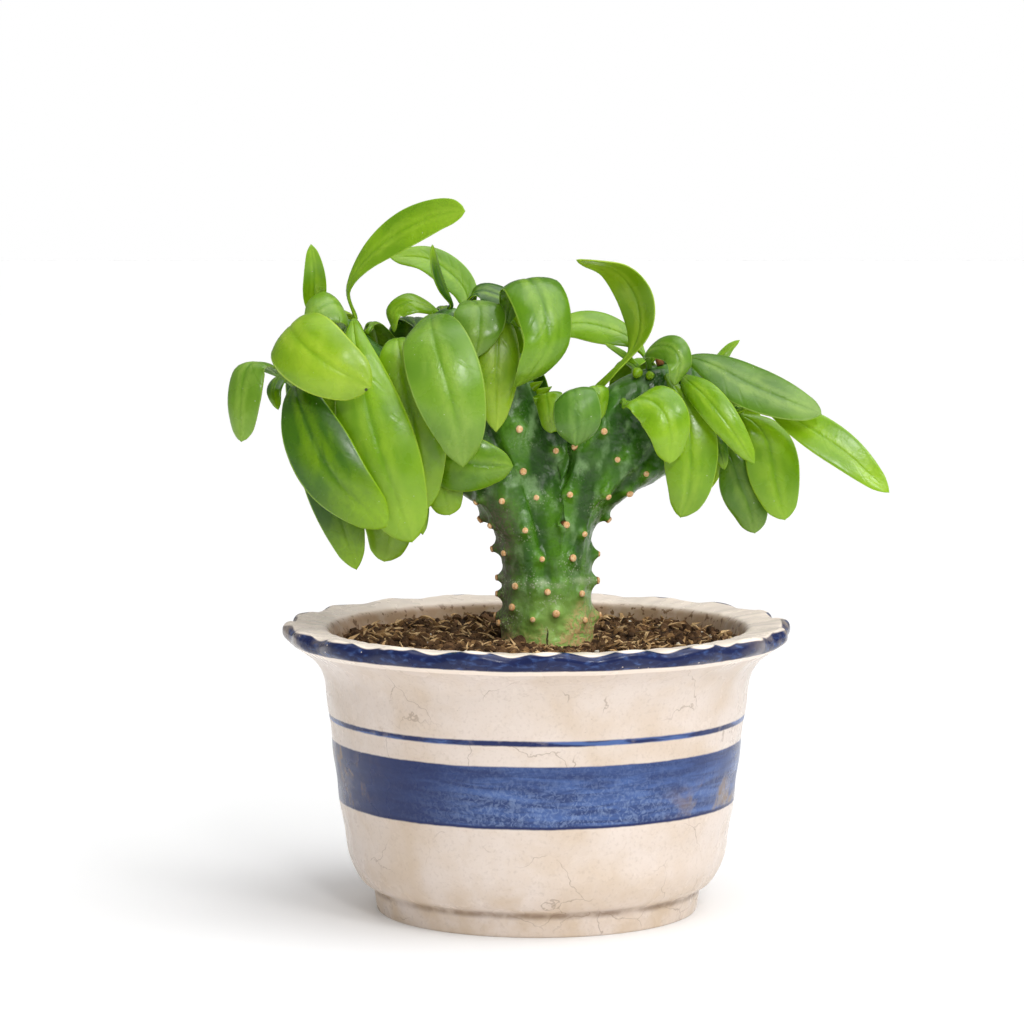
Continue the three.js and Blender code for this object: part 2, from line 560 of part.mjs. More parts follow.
function backLeaf([x, z, lean, back, drop, width], index) {
  return {
    name: `leaf_back_${index + 1}`,
    width,
    face: [0, 1, 0.05],
    cup: -0.12,
    skew: 1,
    plain: true,
    path: [
      [x, 6, z],
      [x + lean * 0.2, back * 0.55, z + 2],
      [x + lean * 0.5, back * 0.95, z - drop * 0.2],
      [x + lean * 0.8, back, z - drop * 0.6],
      [x + lean, back * 0.9, z - drop],
    ],
  };
}

function leafHalfWidth(leaf, along) {
  const { width, skew, stalk = SHORT_STALK, stem = STALK_HALF_WIDTH } = leaf;
  const { shoulder = SLIM_SHOULDER, tip = POINTED_TIP } = leaf;
  const blade = (along - stalk) / (1 - stalk);
  const least = Math.min(mix(stem, TIP_HALF_WIDTH, Math.max(blade, 0)), width / 2);
  if (blade <= 0) return least;
  const swell = Math.sin(Math.PI * Math.min(blade, 1) ** skew);
  return Math.max(least, (width / 2) * Math.max(swell, 0) ** mix(shoulder, tip, blade));
}

// Place on the crest's faces that is nearest to a target, and the way that face looks
function nearestFace(target) {
  const { position } = crestShape.attributes;
  const corners = crestShape.index.array;
  const face = new THREE.Triangle();
  const place = new THREE.Vector3();
  let least = Infinity;
  const best = { point: new THREE.Vector3(), normal: new THREE.Vector3() };
  for (let i = 0; i < corners.length; i += 3) {
    face.setFromAttributeAndIndices(position, corners[i], corners[i + 1], corners[i + 2]);
    face.closestPointToPoint(target, place);
    const away = place.distanceTo(target);
    if (away < least) {
      least = away;
      best.point.copy(place);
      face.getNormal(best.normal);
    }
  }
  return best;
}

function leafMidrib(path) {
  const { point, normal } = nearestFace(vec(path[0]));
  return new THREE.CatmullRomCurve3([
    point.clone().addScaledVector(normal, LEAF_GAP),
    point.clone().addScaledVector(normal, LEAF_GAP + ROOT_STEP),
    ...path.slice(1).map(vec),
  ], false, 'catmullrom', 0.5);
}

// Upper and lower points of the blade, row after row from root to tip
function leafFaces(leaf, columns) {
  const midrib = leafMidrib(leaf.path);
  const sideways = vec(leaf.face).cross(midrib.getTangentAt(WIDEST_PLACE)).normalize();
  const [upper, lower] = [[], []];
  for (const along of LEAF_STATIONS) {
    const tangent = midrib.getTangentAt(along);
    const across = sideways.clone().addScaledVector(tangent, -sideways.dot(tangent)).normalize();
    const facing = tangent.clone().cross(across);
    const half = leafHalfWidth(leaf, along);
    for (const column of columns) {
      const thickness = mix(LEAF_MID_THICKNESS, LEAF_EDGE_THICKNESS, Math.abs(column));
      const middle = midrib.getPointAt(along).addScaledVector(across, half * column);
      middle.addScaledVector(facing, leaf.cup * half * column * column);
      upper.push(middle.clone().addScaledVector(facing, thickness / 2));
      lower.push(middle.addScaledVector(facing, -thickness / 2));
    }
  }
  return [upper, lower];
}

// Triangles of both faces, split alike, and of the rim between them
function leafCorners(rows, count) {
  const under = rows * count;
  const tip = under - count;
  const corners = [];
  const quad = (a, b, c, d) => corners.push(a, c, b, a, d, c);
  for (let near = 0; near < tip; near += count) {
    const far = near + count;
    for (let i = 0; i < count - 1; i += 1) {
      quad(near + i, near + i + 1, far + i + 1, far + i);
      corners.push(under + near + i, under + near + i + 1, under + far + i + 1);
      corners.push(under + near + i, under + far + i + 1, under + far + i);
    }
    quad(near, far, under + far, under + near);
    quad(far - 1, under + far - 1, under + far + count - 1, far + count - 1);
  }
  for (let i = 0; i < count - 1; i += 1) {
    quad(i, under + i, under + i + 1, i + 1);
    quad(tip + i, tip + i + 1, under + tip + i + 1, under + tip + i);
  }
  return corners;
}

function makeLeaf(leaf) {
  const simple = leaf.plain || leaf.width <= SMALL_LEAF_WIDTH;
  const columns = simple ? [-1, 0, 1] : [-1, -0.5, 0, 0.5, 1];
  const geometry = new THREE.BufferGeometry().setFromPoints(leafFaces(leaf, columns).flat());
  geometry.setIndex(leafCorners(LEAF_STATIONS.length, columns.length));
  return geometry;
}

const glaze = new THREE.MeshStandardMaterial({ color: 0xdccfc2, roughness: 0.35, metalness: 0 });
const earth = new THREE.MeshStandardMaterial({ color: 0x3c2a1a, roughness: 0.95, metalness: 0 });
const stemSkin = new THREE.MeshStandardMaterial({ color: 0x2d5f2d, roughness: 0.5, metalness: 0 });
const leafSkin = new THREE.MeshStandardMaterial({ color: 0x78b432, roughness: 0.4, metalness: 0 });

function addMesh(group, name, geometry, material) {
  const mesh = new THREE.Mesh(geometry, material);
  mesh.name = name;
  group.add(mesh);
}

const plant = new THREE.Group();
addMesh(plant, 'pot', makePot(), glaze);
addMesh(plant, 'soil', makeSoil(), earth);
addMesh(plant, 'crest_stem', makeCrest(), stemSkin);
for (const leaf of [...frontLeaves, ...backLeafRows.map(backLeaf)]) {
  addMesh(plant, leaf.name, makeLeaf(leaf), leafSkin);
}

export default plant;
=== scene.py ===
"""Potted crested euphorbia: a fan-shaped crested stem with long fleshy leaves in a ruffled glazed pot.

The shapes are worked out in millimetres, +Z up and the front towards -Y, and become metres in the meshes.
"""
import logging
import math
from dataclasses import dataclass, field
from enum import Enum
from functools import reduce

import bmesh
import bpy
import numpy as np
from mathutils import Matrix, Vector, noise
from mathutils.bvhtree import BVHTree


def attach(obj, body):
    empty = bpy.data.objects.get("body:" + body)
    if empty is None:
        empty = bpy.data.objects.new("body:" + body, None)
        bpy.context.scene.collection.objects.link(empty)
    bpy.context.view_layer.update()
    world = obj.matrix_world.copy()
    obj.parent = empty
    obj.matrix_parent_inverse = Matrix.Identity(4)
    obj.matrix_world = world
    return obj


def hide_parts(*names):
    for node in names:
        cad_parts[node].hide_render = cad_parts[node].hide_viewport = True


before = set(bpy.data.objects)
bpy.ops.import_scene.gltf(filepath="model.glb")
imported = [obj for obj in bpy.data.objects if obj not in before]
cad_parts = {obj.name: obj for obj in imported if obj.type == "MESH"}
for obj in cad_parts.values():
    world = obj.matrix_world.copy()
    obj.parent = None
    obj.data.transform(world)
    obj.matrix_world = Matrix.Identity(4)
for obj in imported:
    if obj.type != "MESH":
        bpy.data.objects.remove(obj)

log = logging.getLogger("potted_euphorbia")

MM = 0.001
Triple = tuple[float, float, float]
Span = tuple[float, float]
Colour = tuple[int, int, int]
Socket = bpy.types.NodeSocket
IMAGE_SIDE = 1024

# Corners that lie closer than this are merged, and shorter edges are taken out
MERGE_WITHIN = 0.02
SHORTEST_EDGE = 0.005

# Heights that more than one piece keeps to
SOIL_TOP = 111.0
STEM_X = 4.2
STEM_BOTTOM = 68.0
STEM_RADII = (19.4, 19.6, 18.0)
FIT_GAP = 0.3


def smooth(value: np.ndarray | float, low: float, high: float) -> np.ndarray:
    """Returns the smooth step of value from low to high, as 0 to 1."""
    share = np.clip((np.asarray(value, dtype=float) - low) / (high - low), 0.0, 1.0)
    return share * share * (3.0 - 2.0 * share)


def plateau(value: np.ndarray, rise: Span, fall: Span) -> np.ndarray:
    """Returns 1 between a smooth rise and a smooth fall, and 0 beyond them."""
    return smooth(value, *rise) * (1 - smooth(value, *fall))


def catmull(points: np.ndarray, t: np.ndarray) -> np.ndarray:
    """Uniform Catmull-Rom curves through rows of points.

    Args:
        points: One curve for each sample, as samples x points x numbers, or one for all, as points x numbers.
        t: Place along each curve, from 0 to 1.

    Returns:
        One row of numbers for each sample.
    """
    if points.ndim == 2:
        points = np.broadcast_to(points, (len(t), *points.shape))
    last = points.shape[1] - 1
    place = np.clip(t, 0.0, 1.0) * last
    i = np.minimum(place.astype(int), last - 1)
    u = (place - i)[:, None]
    before = 2 * points[:, :1] - points[:, 1:2]
    after = 2 * points[:, -1:] - points[:, -2:-1]
    padded = np.concatenate([before, points, after], axis=1)
    rows = np.arange(len(t))
    a, b, c, d = (padded[rows, i + k] for k in range(4))
    slope_in, slope_out, rise = (c - a) / 2, (d - b) / 2, c - b
    cubic = slope_in + slope_out - 2 * rise
    return b + u * (slope_in + u * (3 * rise - 2 * slope_in - slope_out + u * cubic))


def unit(vectors: np.ndarray) -> np.ndarray:
    """Returns the vectors with length 1."""
    return vectors / np.maximum(np.linalg.norm(vectors, axis=-1, keepdims=True), 1e-9)


def rough(points: np.ndarray, size: float, octaves: int = 2, seed: float = 0.0) -> np.ndarray:
    """Returns smooth noise of about -1 to 1 at each point, in lumps of the given size in millimetres."""
    shift = Vector((seed * 17.3, seed * -9.1, seed * 5.7))
    return np.array([noise.fractal(Vector(p) / size + shift, 1.0, 2.0, octaves) for p in points])


@dataclass(frozen=True)
class Crumble:
    """Unevenness of a surface: height and size of its lumps in millimetres, their octaves and seed."""

    height: float
    size: float
    octaves: int
    seed: float

    def at(self, points: np.ndarray) -> np.ndarray:
        """Returns how far the surface rises at each point."""
        return self.height * rough(points, self.size, self.octaves, self.seed)


def stand(mesh: bpy.types.Mesh, name: str, soft: bool) -> bpy.types.Object:
    """Puts a mesh into the scene as an object at the origin, shaded smooth or flat."""
    mesh.polygons.foreach_set("use_smooth", [soft] * len(mesh.polygons))
    mesh.update()
    piece = bpy.data.objects.new(name, mesh)
    bpy.context.collection.objects.link(piece)
    return piece


def mesh_object(name: str, points: np.ndarray, faces: np.ndarray | list,
                soft: bool = True) -> bpy.types.Object:
    """Makes a mesh object from points in millimetres.

    Args:
        name: Name of the object and its mesh.
        points: Corner points in millimetres.
        faces: Corner numbers of each face.
        soft: Whether the faces are shaded smooth.

    Returns:
        The new object, linked into the scene.
    """
    mesh = bpy.data.meshes.new(name)
    corners = (np.asarray(points) * MM).tolist()
    mesh.from_pydata(corners, [], faces.tolist() if isinstance(faces, np.ndarray) else faces)
    return stand(mesh, name, soft)


def settle(source: bpy.types.Object, name: str, soft: bool = True) -> bpy.types.Object:
    """Turns an object with live modifiers into a plain mesh object and removes the source.

    Args:
        source: Object whose modifiers are to be applied.
        name: Name of the plain object.
        soft: Whether the faces are shaded smooth.

    Returns:
        The plain object, at the origin.
    """
    graph = bpy.context.evaluated_depsgraph_get()
    mesh = bpy.data.meshes.new_from_object(source.evaluated_get(graph), depsgraph=graph)
    mesh.name = name
    bpy.data.objects.remove(source)
    return stand(mesh, name, soft)


def ring_faces(rows: int, loop: int) -> np.ndarray:
    """Returns the four-cornered faces between rows of points that each close into a loop, facing out."""
    row, i = np.meshgrid(np.arange(rows - 1), np.arange(loop), indexing="ij")
    a, b = row * loop + i, row * loop + (i + 1) % loop
    return np.stack([a, b, b + loop, a + loop], axis=-1).reshape(-1, 4)


def rounded(corners: list[tuple[float, float, float]], steps: int = 6) -> np.ndarray:
    """Rounds the corners of an open outline.

    Args:
        corners: Radius, height and rounding of each corner.
        steps: Points on each rounded corner.

    Returns:
        The points of the outline.
    """
    flat = np.array([c[:2] for c in corners], dtype=float)
    points = [flat[0]]
    for i in range(1, len(corners) - 1):
        here, reach = flat[i], corners[i][2]
        back, ahead = flat[i - 1] - here, flat[i + 1] - here
        back_length, ahead_length = np.linalg.norm(back), np.linalg.norm(ahead)
        start = here + back / back_length * min(reach, back_length / 2)
        end = here + ahead / ahead_length * min(reach, ahead_length / 2)
        for k in range(steps + 1):
            u = k / steps
            points.append((1 - u) ** 2 * start + 2 * u * (1 - u) * here + u * u * end)
    points.append(flat[-1])
    return np.array(points)


def divided(outline: np.ndarray, longest: float) -> np.ndarray:
    """Returns the outline with extra points, so that no stretch is longer than the given length."""
    points = [outline[0]]
    for a, b in zip(outline[:-1], outline[1:]):
        count = max(1, math.ceil(float(np.linalg.norm(b - a)) / longest))
        points += [a + (b - a) * k / count for k in range(1, count + 1)]
    return np.array(points)


def turned(outline: np.ndarray, sides: int) -> np.ndarray:
    """Returns the rows of points that the outline sweeps round the Z axis, with angle 0 at the front."""
    angle = np.arange(sides) / sides * 2 * math.pi
    radius, height = outline[:, :1], outline[:, 1:]
    x, y = radius * np.sin(angle), -radius * np.cos(angle)
    return np.stack([x, y, np.broadcast_to(height, x.shape)], axis=-1).reshape(-1, 3)


class NodeWriter:
    """Writes nodes into a tree, with plain calls for what comes up often."""

    tree: bpy.types.NodeTree

    def node(self, kind: str, inputs: dict[str | int, object] | None = None,
             **settings: object) -> bpy.types.Node:
        """Adds a node.

        Args:
            kind: Blender's name of the node type.
            inputs: Values or sockets for the node's inputs, by name, identifier or number.
            **settings: Properties of the node.

        Returns:
            The new node.
        """
        made = self.tree.nodes.new(kind)
        for key, value in settings.items():
            setattr(made, key, value)
        for key, value in (inputs or {}).items():
            socket = made.inputs[key] if isinstance(key, int) else next(
                s for s in made.inputs if key in (s.identifier, s.name) and s.enabled)
            if isinstance(value, Socket):
                self.tree.links.new(value, socket)
            else:
                socket.default_value = value
        return made

    def math(self, operation: str, a: object, b: object = 0.0) -> Socket:
        """Returns the result of a Math node."""
        return self.node("ShaderNodeMath", {0: a, 1: b}, operation=operation).outputs[0]

    def times(self, *factors: object) -> Socket:
        """Returns the product of the factors."""
        return reduce(lambda a, b: self.math("MULTIPLY", a, b), factors)

    def plus(self, *terms: object) -> Socket:
        """Returns the sum of the terms."""
        return reduce(lambda a, b: self.math("ADD", a, b), terms)

    def minus(self, a: object, b: object) -> Socket:
        """Returns the difference of two numbers."""
        return self.math("SUBTRACT", a, b)

    def length(self, *parts: object) -> Socket:
        """Returns the length of a vector with the given parts."""
        return self.math("SQRT", self.plus(*(self.times(part, part) for part in parts)))

    def split(self, vector: Socket) -> list[Socket]:
        """Returns a vector's X, Y and Z."""
        return list(self.node("ShaderNodeSeparateXYZ", {0: vector}).outputs)

    def join(self, x: object, y: object, z: object) -> Socket:
        """Returns the vector with the given X, Y and Z."""
        return self.node("ShaderNodeCombineXYZ", {0: x, 1: y, 2: z}).outputs[0]

    def ramp(self, value: object, low: object, high: object, start: float = 0.0, end: float = 1.0) -> Socket:
        """Returns value mapped smoothly from low to high onto start to end."""
        return self.node("ShaderNodeMapRange", {"Value": value, "From Min": low, "From Max": high,
                                                "To Min": start, "To Max": end},
                         interpolation_type="SMOOTHSTEP").outputs[0]


class Tree(NodeWriter):
    """A Geometry Nodes tree that is written as a chain of nodes, with named inputs."""

    def __init__(self, name: str) -> None:
        """Starts an empty tree with one geometry in and one out."""
        self.tree = bpy.data.node_groups.new(name, "GeometryNodeTree")
        for way in ("INPUT", "OUTPUT"):
            self.tree.interface.new_socket("Geometry", in_out=way, socket_type="NodeSocketGeometry")
        self.start = self.tree.nodes.new("NodeGroupInput")
        self.end = self.tree.nodes.new("NodeGroupOutput")
        self.values: dict[str, object] = {}

    def size(self, name: str, value: object, kind: str = "NodeSocketFloat") -> Socket:
        """Adds a named input with the value that this piece gives it.

        Args:
            name: Name of the input.
            value: Value set on the modifier.
            kind: Socket type of the input.

        Returns:
            The socket that carries the value inside the tree.
        """
        item = self.tree.interface.new_socket(name, in_out="INPUT", socket_type=kind)
        self.values[item.identifier] = value
        return next(s for s in self.start.outputs if s.identifier == item.identifier)

    def geometry(self, kind: str, inputs: dict[str | int, object] | None = None,
                 **settings: object) -> Socket:
        """Adds a node and returns its first output."""
        return self.node(kind, inputs, **settings).outputs[0]

    def chance(self, low: object, high: object, seed: Socket, kind: str = "FLOAT") -> Socket:
        """Returns a random number, or vector, between two others for each point."""
        drawn = self.node("FunctionNodeRandomValue", {"Min": low, "Max": high, "Seed": seed}, data_type=kind)
        return next(s for s in drawn.outputs if s.enabled)

    def copies(self, of: Socket, points: Socket, turn: Socket, scale: Socket) -> Socket:
        """Returns real copies of an object on points, each turned and scaled."""
        shape = self.node("GeometryNodeObjectInfo", {"Object": of}).outputs["Geometry"]
        stood = self.geometry("GeometryNodeInstanceOnPoints", {
            "Points": points, "Instance": shape, "Rotation": turn, "Scale": scale})
        return self.geometry("GeometryNodeRealizeInstances", {"Geometry": stood})

    def finish_on(self, source: bpy.types.Object, geometry: Socket, material: bpy.types.Material,
                  name: str, soft: bool = True) -> bpy.types.Object:
        """Ends the tree in Realize Instances and Set Material, runs it and makes the result plain.

        Args:
            source: Object that carries the modifier and is used up.
            geometry: Last geometry of the tree.
            material: Material of the result.
            name: Name of the plain object.
            soft: Whether the faces are shaded smooth.

        Returns:
            The plain object.
        """
        real = self.geometry("GeometryNodeRealizeInstances", {"Geometry": geometry})
        dressed = self.geometry("GeometryNodeSetMaterial", {"Geometry": real, "Material": material})
        self.tree.links.new(dressed, self.end.inputs[0])
        modifier = source.modifiers.new(self.tree.name, "NODES")
        modifier.node_group = self.tree
        for identifier, value in self.values.items():
            modifier[identifier] = value
        return settle(source, name, soft)


class Shader(NodeWriter):
    """A node material that is written as sums of noise, ramps and bands."""

    def __init__(self, name: str) -> None:
        """Starts a material with one Principled surface."""
        self.material = bpy.data.materials.new(name)
        self.material.use_nodes = True
        self.tree = self.material.node_tree
        self.surface = self.tree.nodes["Principled BSDF"]
        self.place = self.tree.nodes.new("ShaderNodeTexCoord").outputs["Object"]
        self.x, self.y, self.z = self.split(self.place)

    def mm(self, metres: Socket) -> Socket:
        """Returns a length in millimetres."""
        return self.times(metres, 1 / MM)

    def noise(self, size: float, detail: float = 3.0, distortion: float = 0.0,
              stretch: Triple = (1.0, 1.0, 1.0), at: Socket | None = None) -> Socket:
        """Returns noise of 0 to 1 with lumps of about the given size in millimetres.

        Args:
            size: Size of the lumps.
            detail: Octaves of finer noise.
            distortion: How much the noise is bent.
            stretch: Scale of the noise along X, Y and Z.
            at: Coordinates, or none for the object's own.

        Returns:
            The noise value.
        """
        spread = self.node("ShaderNodeMapping", {"Vector": at or self.place, "Scale": stretch})
        return self.node("ShaderNodeTexNoise", {"Vector": spread.outputs[0], "Scale": 1 / (size * MM),
                                                "Detail": detail, "Distortion": distortion}).outputs[0]

    def cells(self, size: float, feature: str = "F1", at: Socket | None = None) -> Socket:
        """Returns the distance to the middles, or edges, of cells of the given size in millimetres."""
        return self.node("ShaderNodeTexVoronoi", {"Vector": at or self.place, "Scale": 1 / (size * MM)},
                         feature=feature).outputs["Distance"]

    def bent(self, size: float, amount: float) -> Socket:
        """Returns the coordinates, bent by lumps of the given size by up to the given millimetres."""
        wander = self.node("ShaderNodeTexNoise", {
            "Vector": self.place, "Scale": 1 / (size * MM), "Detail": 3.0})
        centred = self.node("ShaderNodeVectorMath", {0: wander.outputs["Color"], 1: (0.5, 0.5, 0.5)},
                            operation="SUBTRACT").outputs[0]
        return self.node("ShaderNodeVectorMath", {0: centred, 1: (2 * amount * MM,) * 3, 2: self.place},
                         operation="MULTIPLY_ADD").outputs[0]

    def band(self, value: Socket, low: float, high: float, soft: float) -> Socket:
        """Returns 1 where value lies between low and high, with soft borders."""
        return self.times(self.ramp(value, low - soft, low + soft),
                          self.ramp(value, high - soft, high + soft, 1.0, 0.0))

    def mix(self, share: Socket | float, a: Socket | Colour, b: Socket | Colour) -> Socket:
        """Returns colour a turned into colour b by the given share."""
        first, second = (colour if isinstance(colour, Socket) else linear(colour) for colour in (a, b))
        return self.node("ShaderNodeMix", {0: share, 6: first, 7: second}, data_type="RGBA").outputs[2]

    def layered(self, ground: Socket | Colour, *coats: tuple[Socket | Colour | float, ...]) -> Socket:
        """Lays coats of colour over a ground, one after another.

        Args:
            ground: Colour underneath.
            *coats: Colour of each coat, then the shares whose product says how far it covers.

        Returns:
            The colour of the whole.
        """
        for colour, *shares in coats:
            ground = self.mix(self.times(*shares), ground, colour)
        return ground

    def attribute(self, name: str) -> Socket:
        """Returns the number that the mesh keeps under a name."""
        return self.node("ShaderNodeAttribute", attribute_name=name).outputs["Fac"]

    def bump(self, height: Socket, depth: float, strength: float) -> None:
        """Raises the surface by height times depth, in millimetres, in the shading."""
        self.set(Normal=self.node("ShaderNodeBump", {"Height": height, "Distance": depth * MM,
                                                     "Strength": strength}).outputs[0])

    def set(self, **sockets: object) -> None:
        """Sets or links the surface's sockets; an underscore stands for a space."""
        for key, value in sockets.items():
            socket = self.surface.inputs[key.replace("_", " ")]
            if isinstance(value, Socket):
                self.tree.links.new(value, socket)
            else:
                socket.default_value = value


def linear(colour: Colour) -> tuple[float, float, float, float]:
    """Returns an sRGB colour of 0 to 255 as linear red, green, blue and alpha."""
    parts = [value / 255 for value in colour]
    return (*[p / 12.92 if p <= 0.04045 else ((p + 0.055) / 1.055) ** 2.4 for p in parts], 1.0)


@dataclass(frozen=True)
class GlazeFinish:
    """Cream stoneware glaze with brushed blue bands, crazing, brown stains, painted shade and painted
    highlights.

    Heights and radii are spans in millimetres over which a coat comes or goes.
    """

    cream: Colour = (228, 214, 203)
    stain: Colour = (210, 188, 162)
    rust: Colour = (124, 96, 70)
    # Painted light: a lighter cream for the lip top and for the highlight line under the bead.
    painted_light_cream: Colour = (255, 240, 225)
    blue: Colour = (74, 102, 160)
    deep_blue: Colour = (24, 38, 88)
    navy: Colour = (24, 34, 76)
    pale_blue: Colour = (142, 162, 198)
    grey: Colour = (158, 146, 136)
    inside: Colour = (176, 146, 118)
    foot_crease: Span = (8.0, 10.6)
    wide_band: Span = (46.8, 72.4)
    wide_band_foot: Span = (46.4, 48.0)
    thin_band: Span = (80.7, 82.9)
    lip_height: Span = (112, 116)
    lip_radius: Span = (86, 90)
    # Painted highlight: heights of the thin pale line just under the bead.
    highlight_under_bead: Span = (110.9, 112.8)
    bead_foot: Span = (112.6, 113.2)
    bead_top: Span = (120.2, 119.6)
    bead_radius: Span = (101.4, 102.2)

    def dress(self) -> bpy.types.Material:
        """Returns the glaze as a material; its bands follow the pot's height."""
        s = Shader("glazed_pot")
        x, z, radius = s.mm(s.x), s.mm(s.z), s.mm(s.length(s.x, s.y))
        side = s.math("ABSOLUTE", x)
        level = s.plus(z, s.minus(s.noise(30, 2), 0.5), s.times(s.minus(s.noise(3.2, 3), 0.5), 0.35))
        brushed = s.noise(9, 4, 0.6, (0.35, 0.35, 3.0))

        hairline = s.cells(27, "DISTANCE_TO_EDGE", s.bent(8, 4.5))
        crazed = s.times(s.ramp(hairline, 0.009, 0.003), s.ramp(s.noise(22, 2), 0.48, 0.6, 0.0, 0.38))
        body = s.layered(
            self.cream,
            (self.stain, s.ramp(s.noise(34, 5, 0.4), 0.4, 0.8, 0.0, 0.75)),
            (self.stain, s.ramp(s.noise(9, 5, 0.6), 0.42, 0.78, 0.0, 0.24)),
            (self.rust, s.ramp(s.noise(1.4, 3), 0.5, 0.75, 0.0, 0.14)),
            (self.stain, s.ramp(level, 36, 4), s.ramp(s.noise(14, 5), 0.35, 0.7), 0.9),
            (self.rust, s.band(level, *self.foot_crease, 1.2), s.ramp(s.noise(10, 4), 0.3, 0.6, 0.2, 0.7)),
            (self.rust, s.ramp(s.cells(2.6), 0.1, 0.05), s.ramp(s.noise(9, 2), 0.62, 0.7)),
            (self.rust, crazed))

        ends = s.math("MAXIMUM", s.times(s.ramp(x, 44, 80), s.ramp(level, 66, 52)), s.ramp(x, -62, -80))
        rusty = s.times(ends, s.ramp(s.noise(12, 5, 0.6), 0.46, 0.6))
        wide = s.layered(
            self.deep_blue,
            (self.blue, s.ramp(brushed, 0.34, 0.7, 0.25, 1.0)),
            (self.deep_blue, s.ramp(level, 64, 71, 0.0, 0.45)),
            (self.pale_blue, s.ramp(s.noise(1.9, 3, 1.2), 0.4, 0.7), s.ramp(level, 70, 54, 0.25, 1.0),
             s.ramp(side, 76, 30, 0.2, 0.48)),
            # Painted shade: the wide band turns deep blue towards the left, the side away from the light.
            (self.deep_blue, s.ramp(x, -10, -58, 0.0, 0.85)),
            (self.grey, rusty, s.ramp(x, -40, 40, 0.2, 0.7)),
            (self.rust, rusty, s.ramp(s.noise(5, 4), 0.45, 0.6, 0.0, 0.8)),
            (self.deep_blue, s.band(level, *self.wide_band_foot, 0.5)))
        thin = s.mix(s.ramp(brushed, 0.4, 0.6), self.deep_blue, self.blue)

        on_lip = s.ramp(z, *self.lip_height)
        strokes = s.times(s.ramp(s.noise(7, 4, 0.8), 0.5, 0.66), s.ramp(radius, 90, 100), on_lip)
        wander = s.times(s.minus(s.noise(16, 1), 0.5), 4.0)
        on_bead = s.times(s.ramp(radius, *self.bead_radius), s.ramp(s.plus(z, wander), *self.bead_top),
                          s.ramp(level, *self.bead_foot))
        bead = s.layered(
            self.navy,
            (self.blue, s.ramp(s.noise(4.5, 4, 0.3, (1.0, 1.0, 2.4)), 0.48, 0.76, 0.0, 0.6)),
            (self.grey, s.ramp(side, 78, 102), s.ramp(s.noise(10, 4), 0.4, 0.6), 0.85))
        within = s.times(s.ramp(radius, 88.5, 86.0), s.ramp(z, 100, 104))

        colour = s.layered(
            body,
            (wide, s.band(level, *self.wide_band, 0.4)),
            (thin, s.band(level, *self.thin_band, 0.4), s.ramp(s.noise(6, 3), 0.3, 0.45, 0.86, 1.0)),
            # Painted light: the lip top is painted lighter than the wall, to make up for the plant's shade on
            # it.
            (self.painted_light_cream, on_lip, s.ramp(radius, *self.lip_radius), 0.9),
            (self.grey, strokes, s.ramp(side, 60, 96, 0.03, 0.12)),
            # Painted highlight: a thin pale line just under the bead.
            (self.painted_light_cream, s.ramp(radius, 99, 100), s.band(level, *self.highlight_under_bead, 0.3), 0.85),
            (bead, on_bead),
            (self.cream, s.ramp(s.cells(5.2), 0.09, 0.06), on_bead),
            (self.inside, within, s.ramp(s.noise(8, 5), 0.25, 0.6, 0.6, 1.0)),
            (self.rust, within, s.ramp(s.noise(3, 4), 0.56, 0.62)))
        s.set(Base_Color=colour, Roughness=s.ramp(s.noise(16, 4), 0.3, 0.7, 0.18, 0.34),
              Specular_IOR_Level=0.28, Coat_Weight=0.06, Coat_Roughness=0.06)
        relief = s.plus(s.times(s.noise(7, 3), 0.8), s.times(s.noise(1.6, 2), 0.12))
        s.bump(s.minus(relief, s.times(crazed, 0.3)), 0.5, 0.5)
        return s.material


@dataclass(frozen=True)
class EarthFinish:
    """One of the loose materials of the potting mix."""

    name: str
    dark: Colour
    light: Colour
    grain: float = 1.2

    def dress(self) -> bpy.types.Material:
        """Returns the mix's material, with its colour varied from lump to lump."""
        s = Shader(self.name)
        colour = s.layered(self.dark,
                           (self.light, s.ramp(s.noise(self.grain * 4, 4), 0.3, 0.7)),
                           (self.dark, s.ramp(s.noise(self.grain, 3), 0.35, 0.75, 0.0, 0.6)))
        s.set(Base_Color=colour, Roughness=0.93, Specular_IOR_Level=0.2)
        s.bump(s.noise(self.grain * 0.5, 4), 0.4, 0.8)
        return s.material


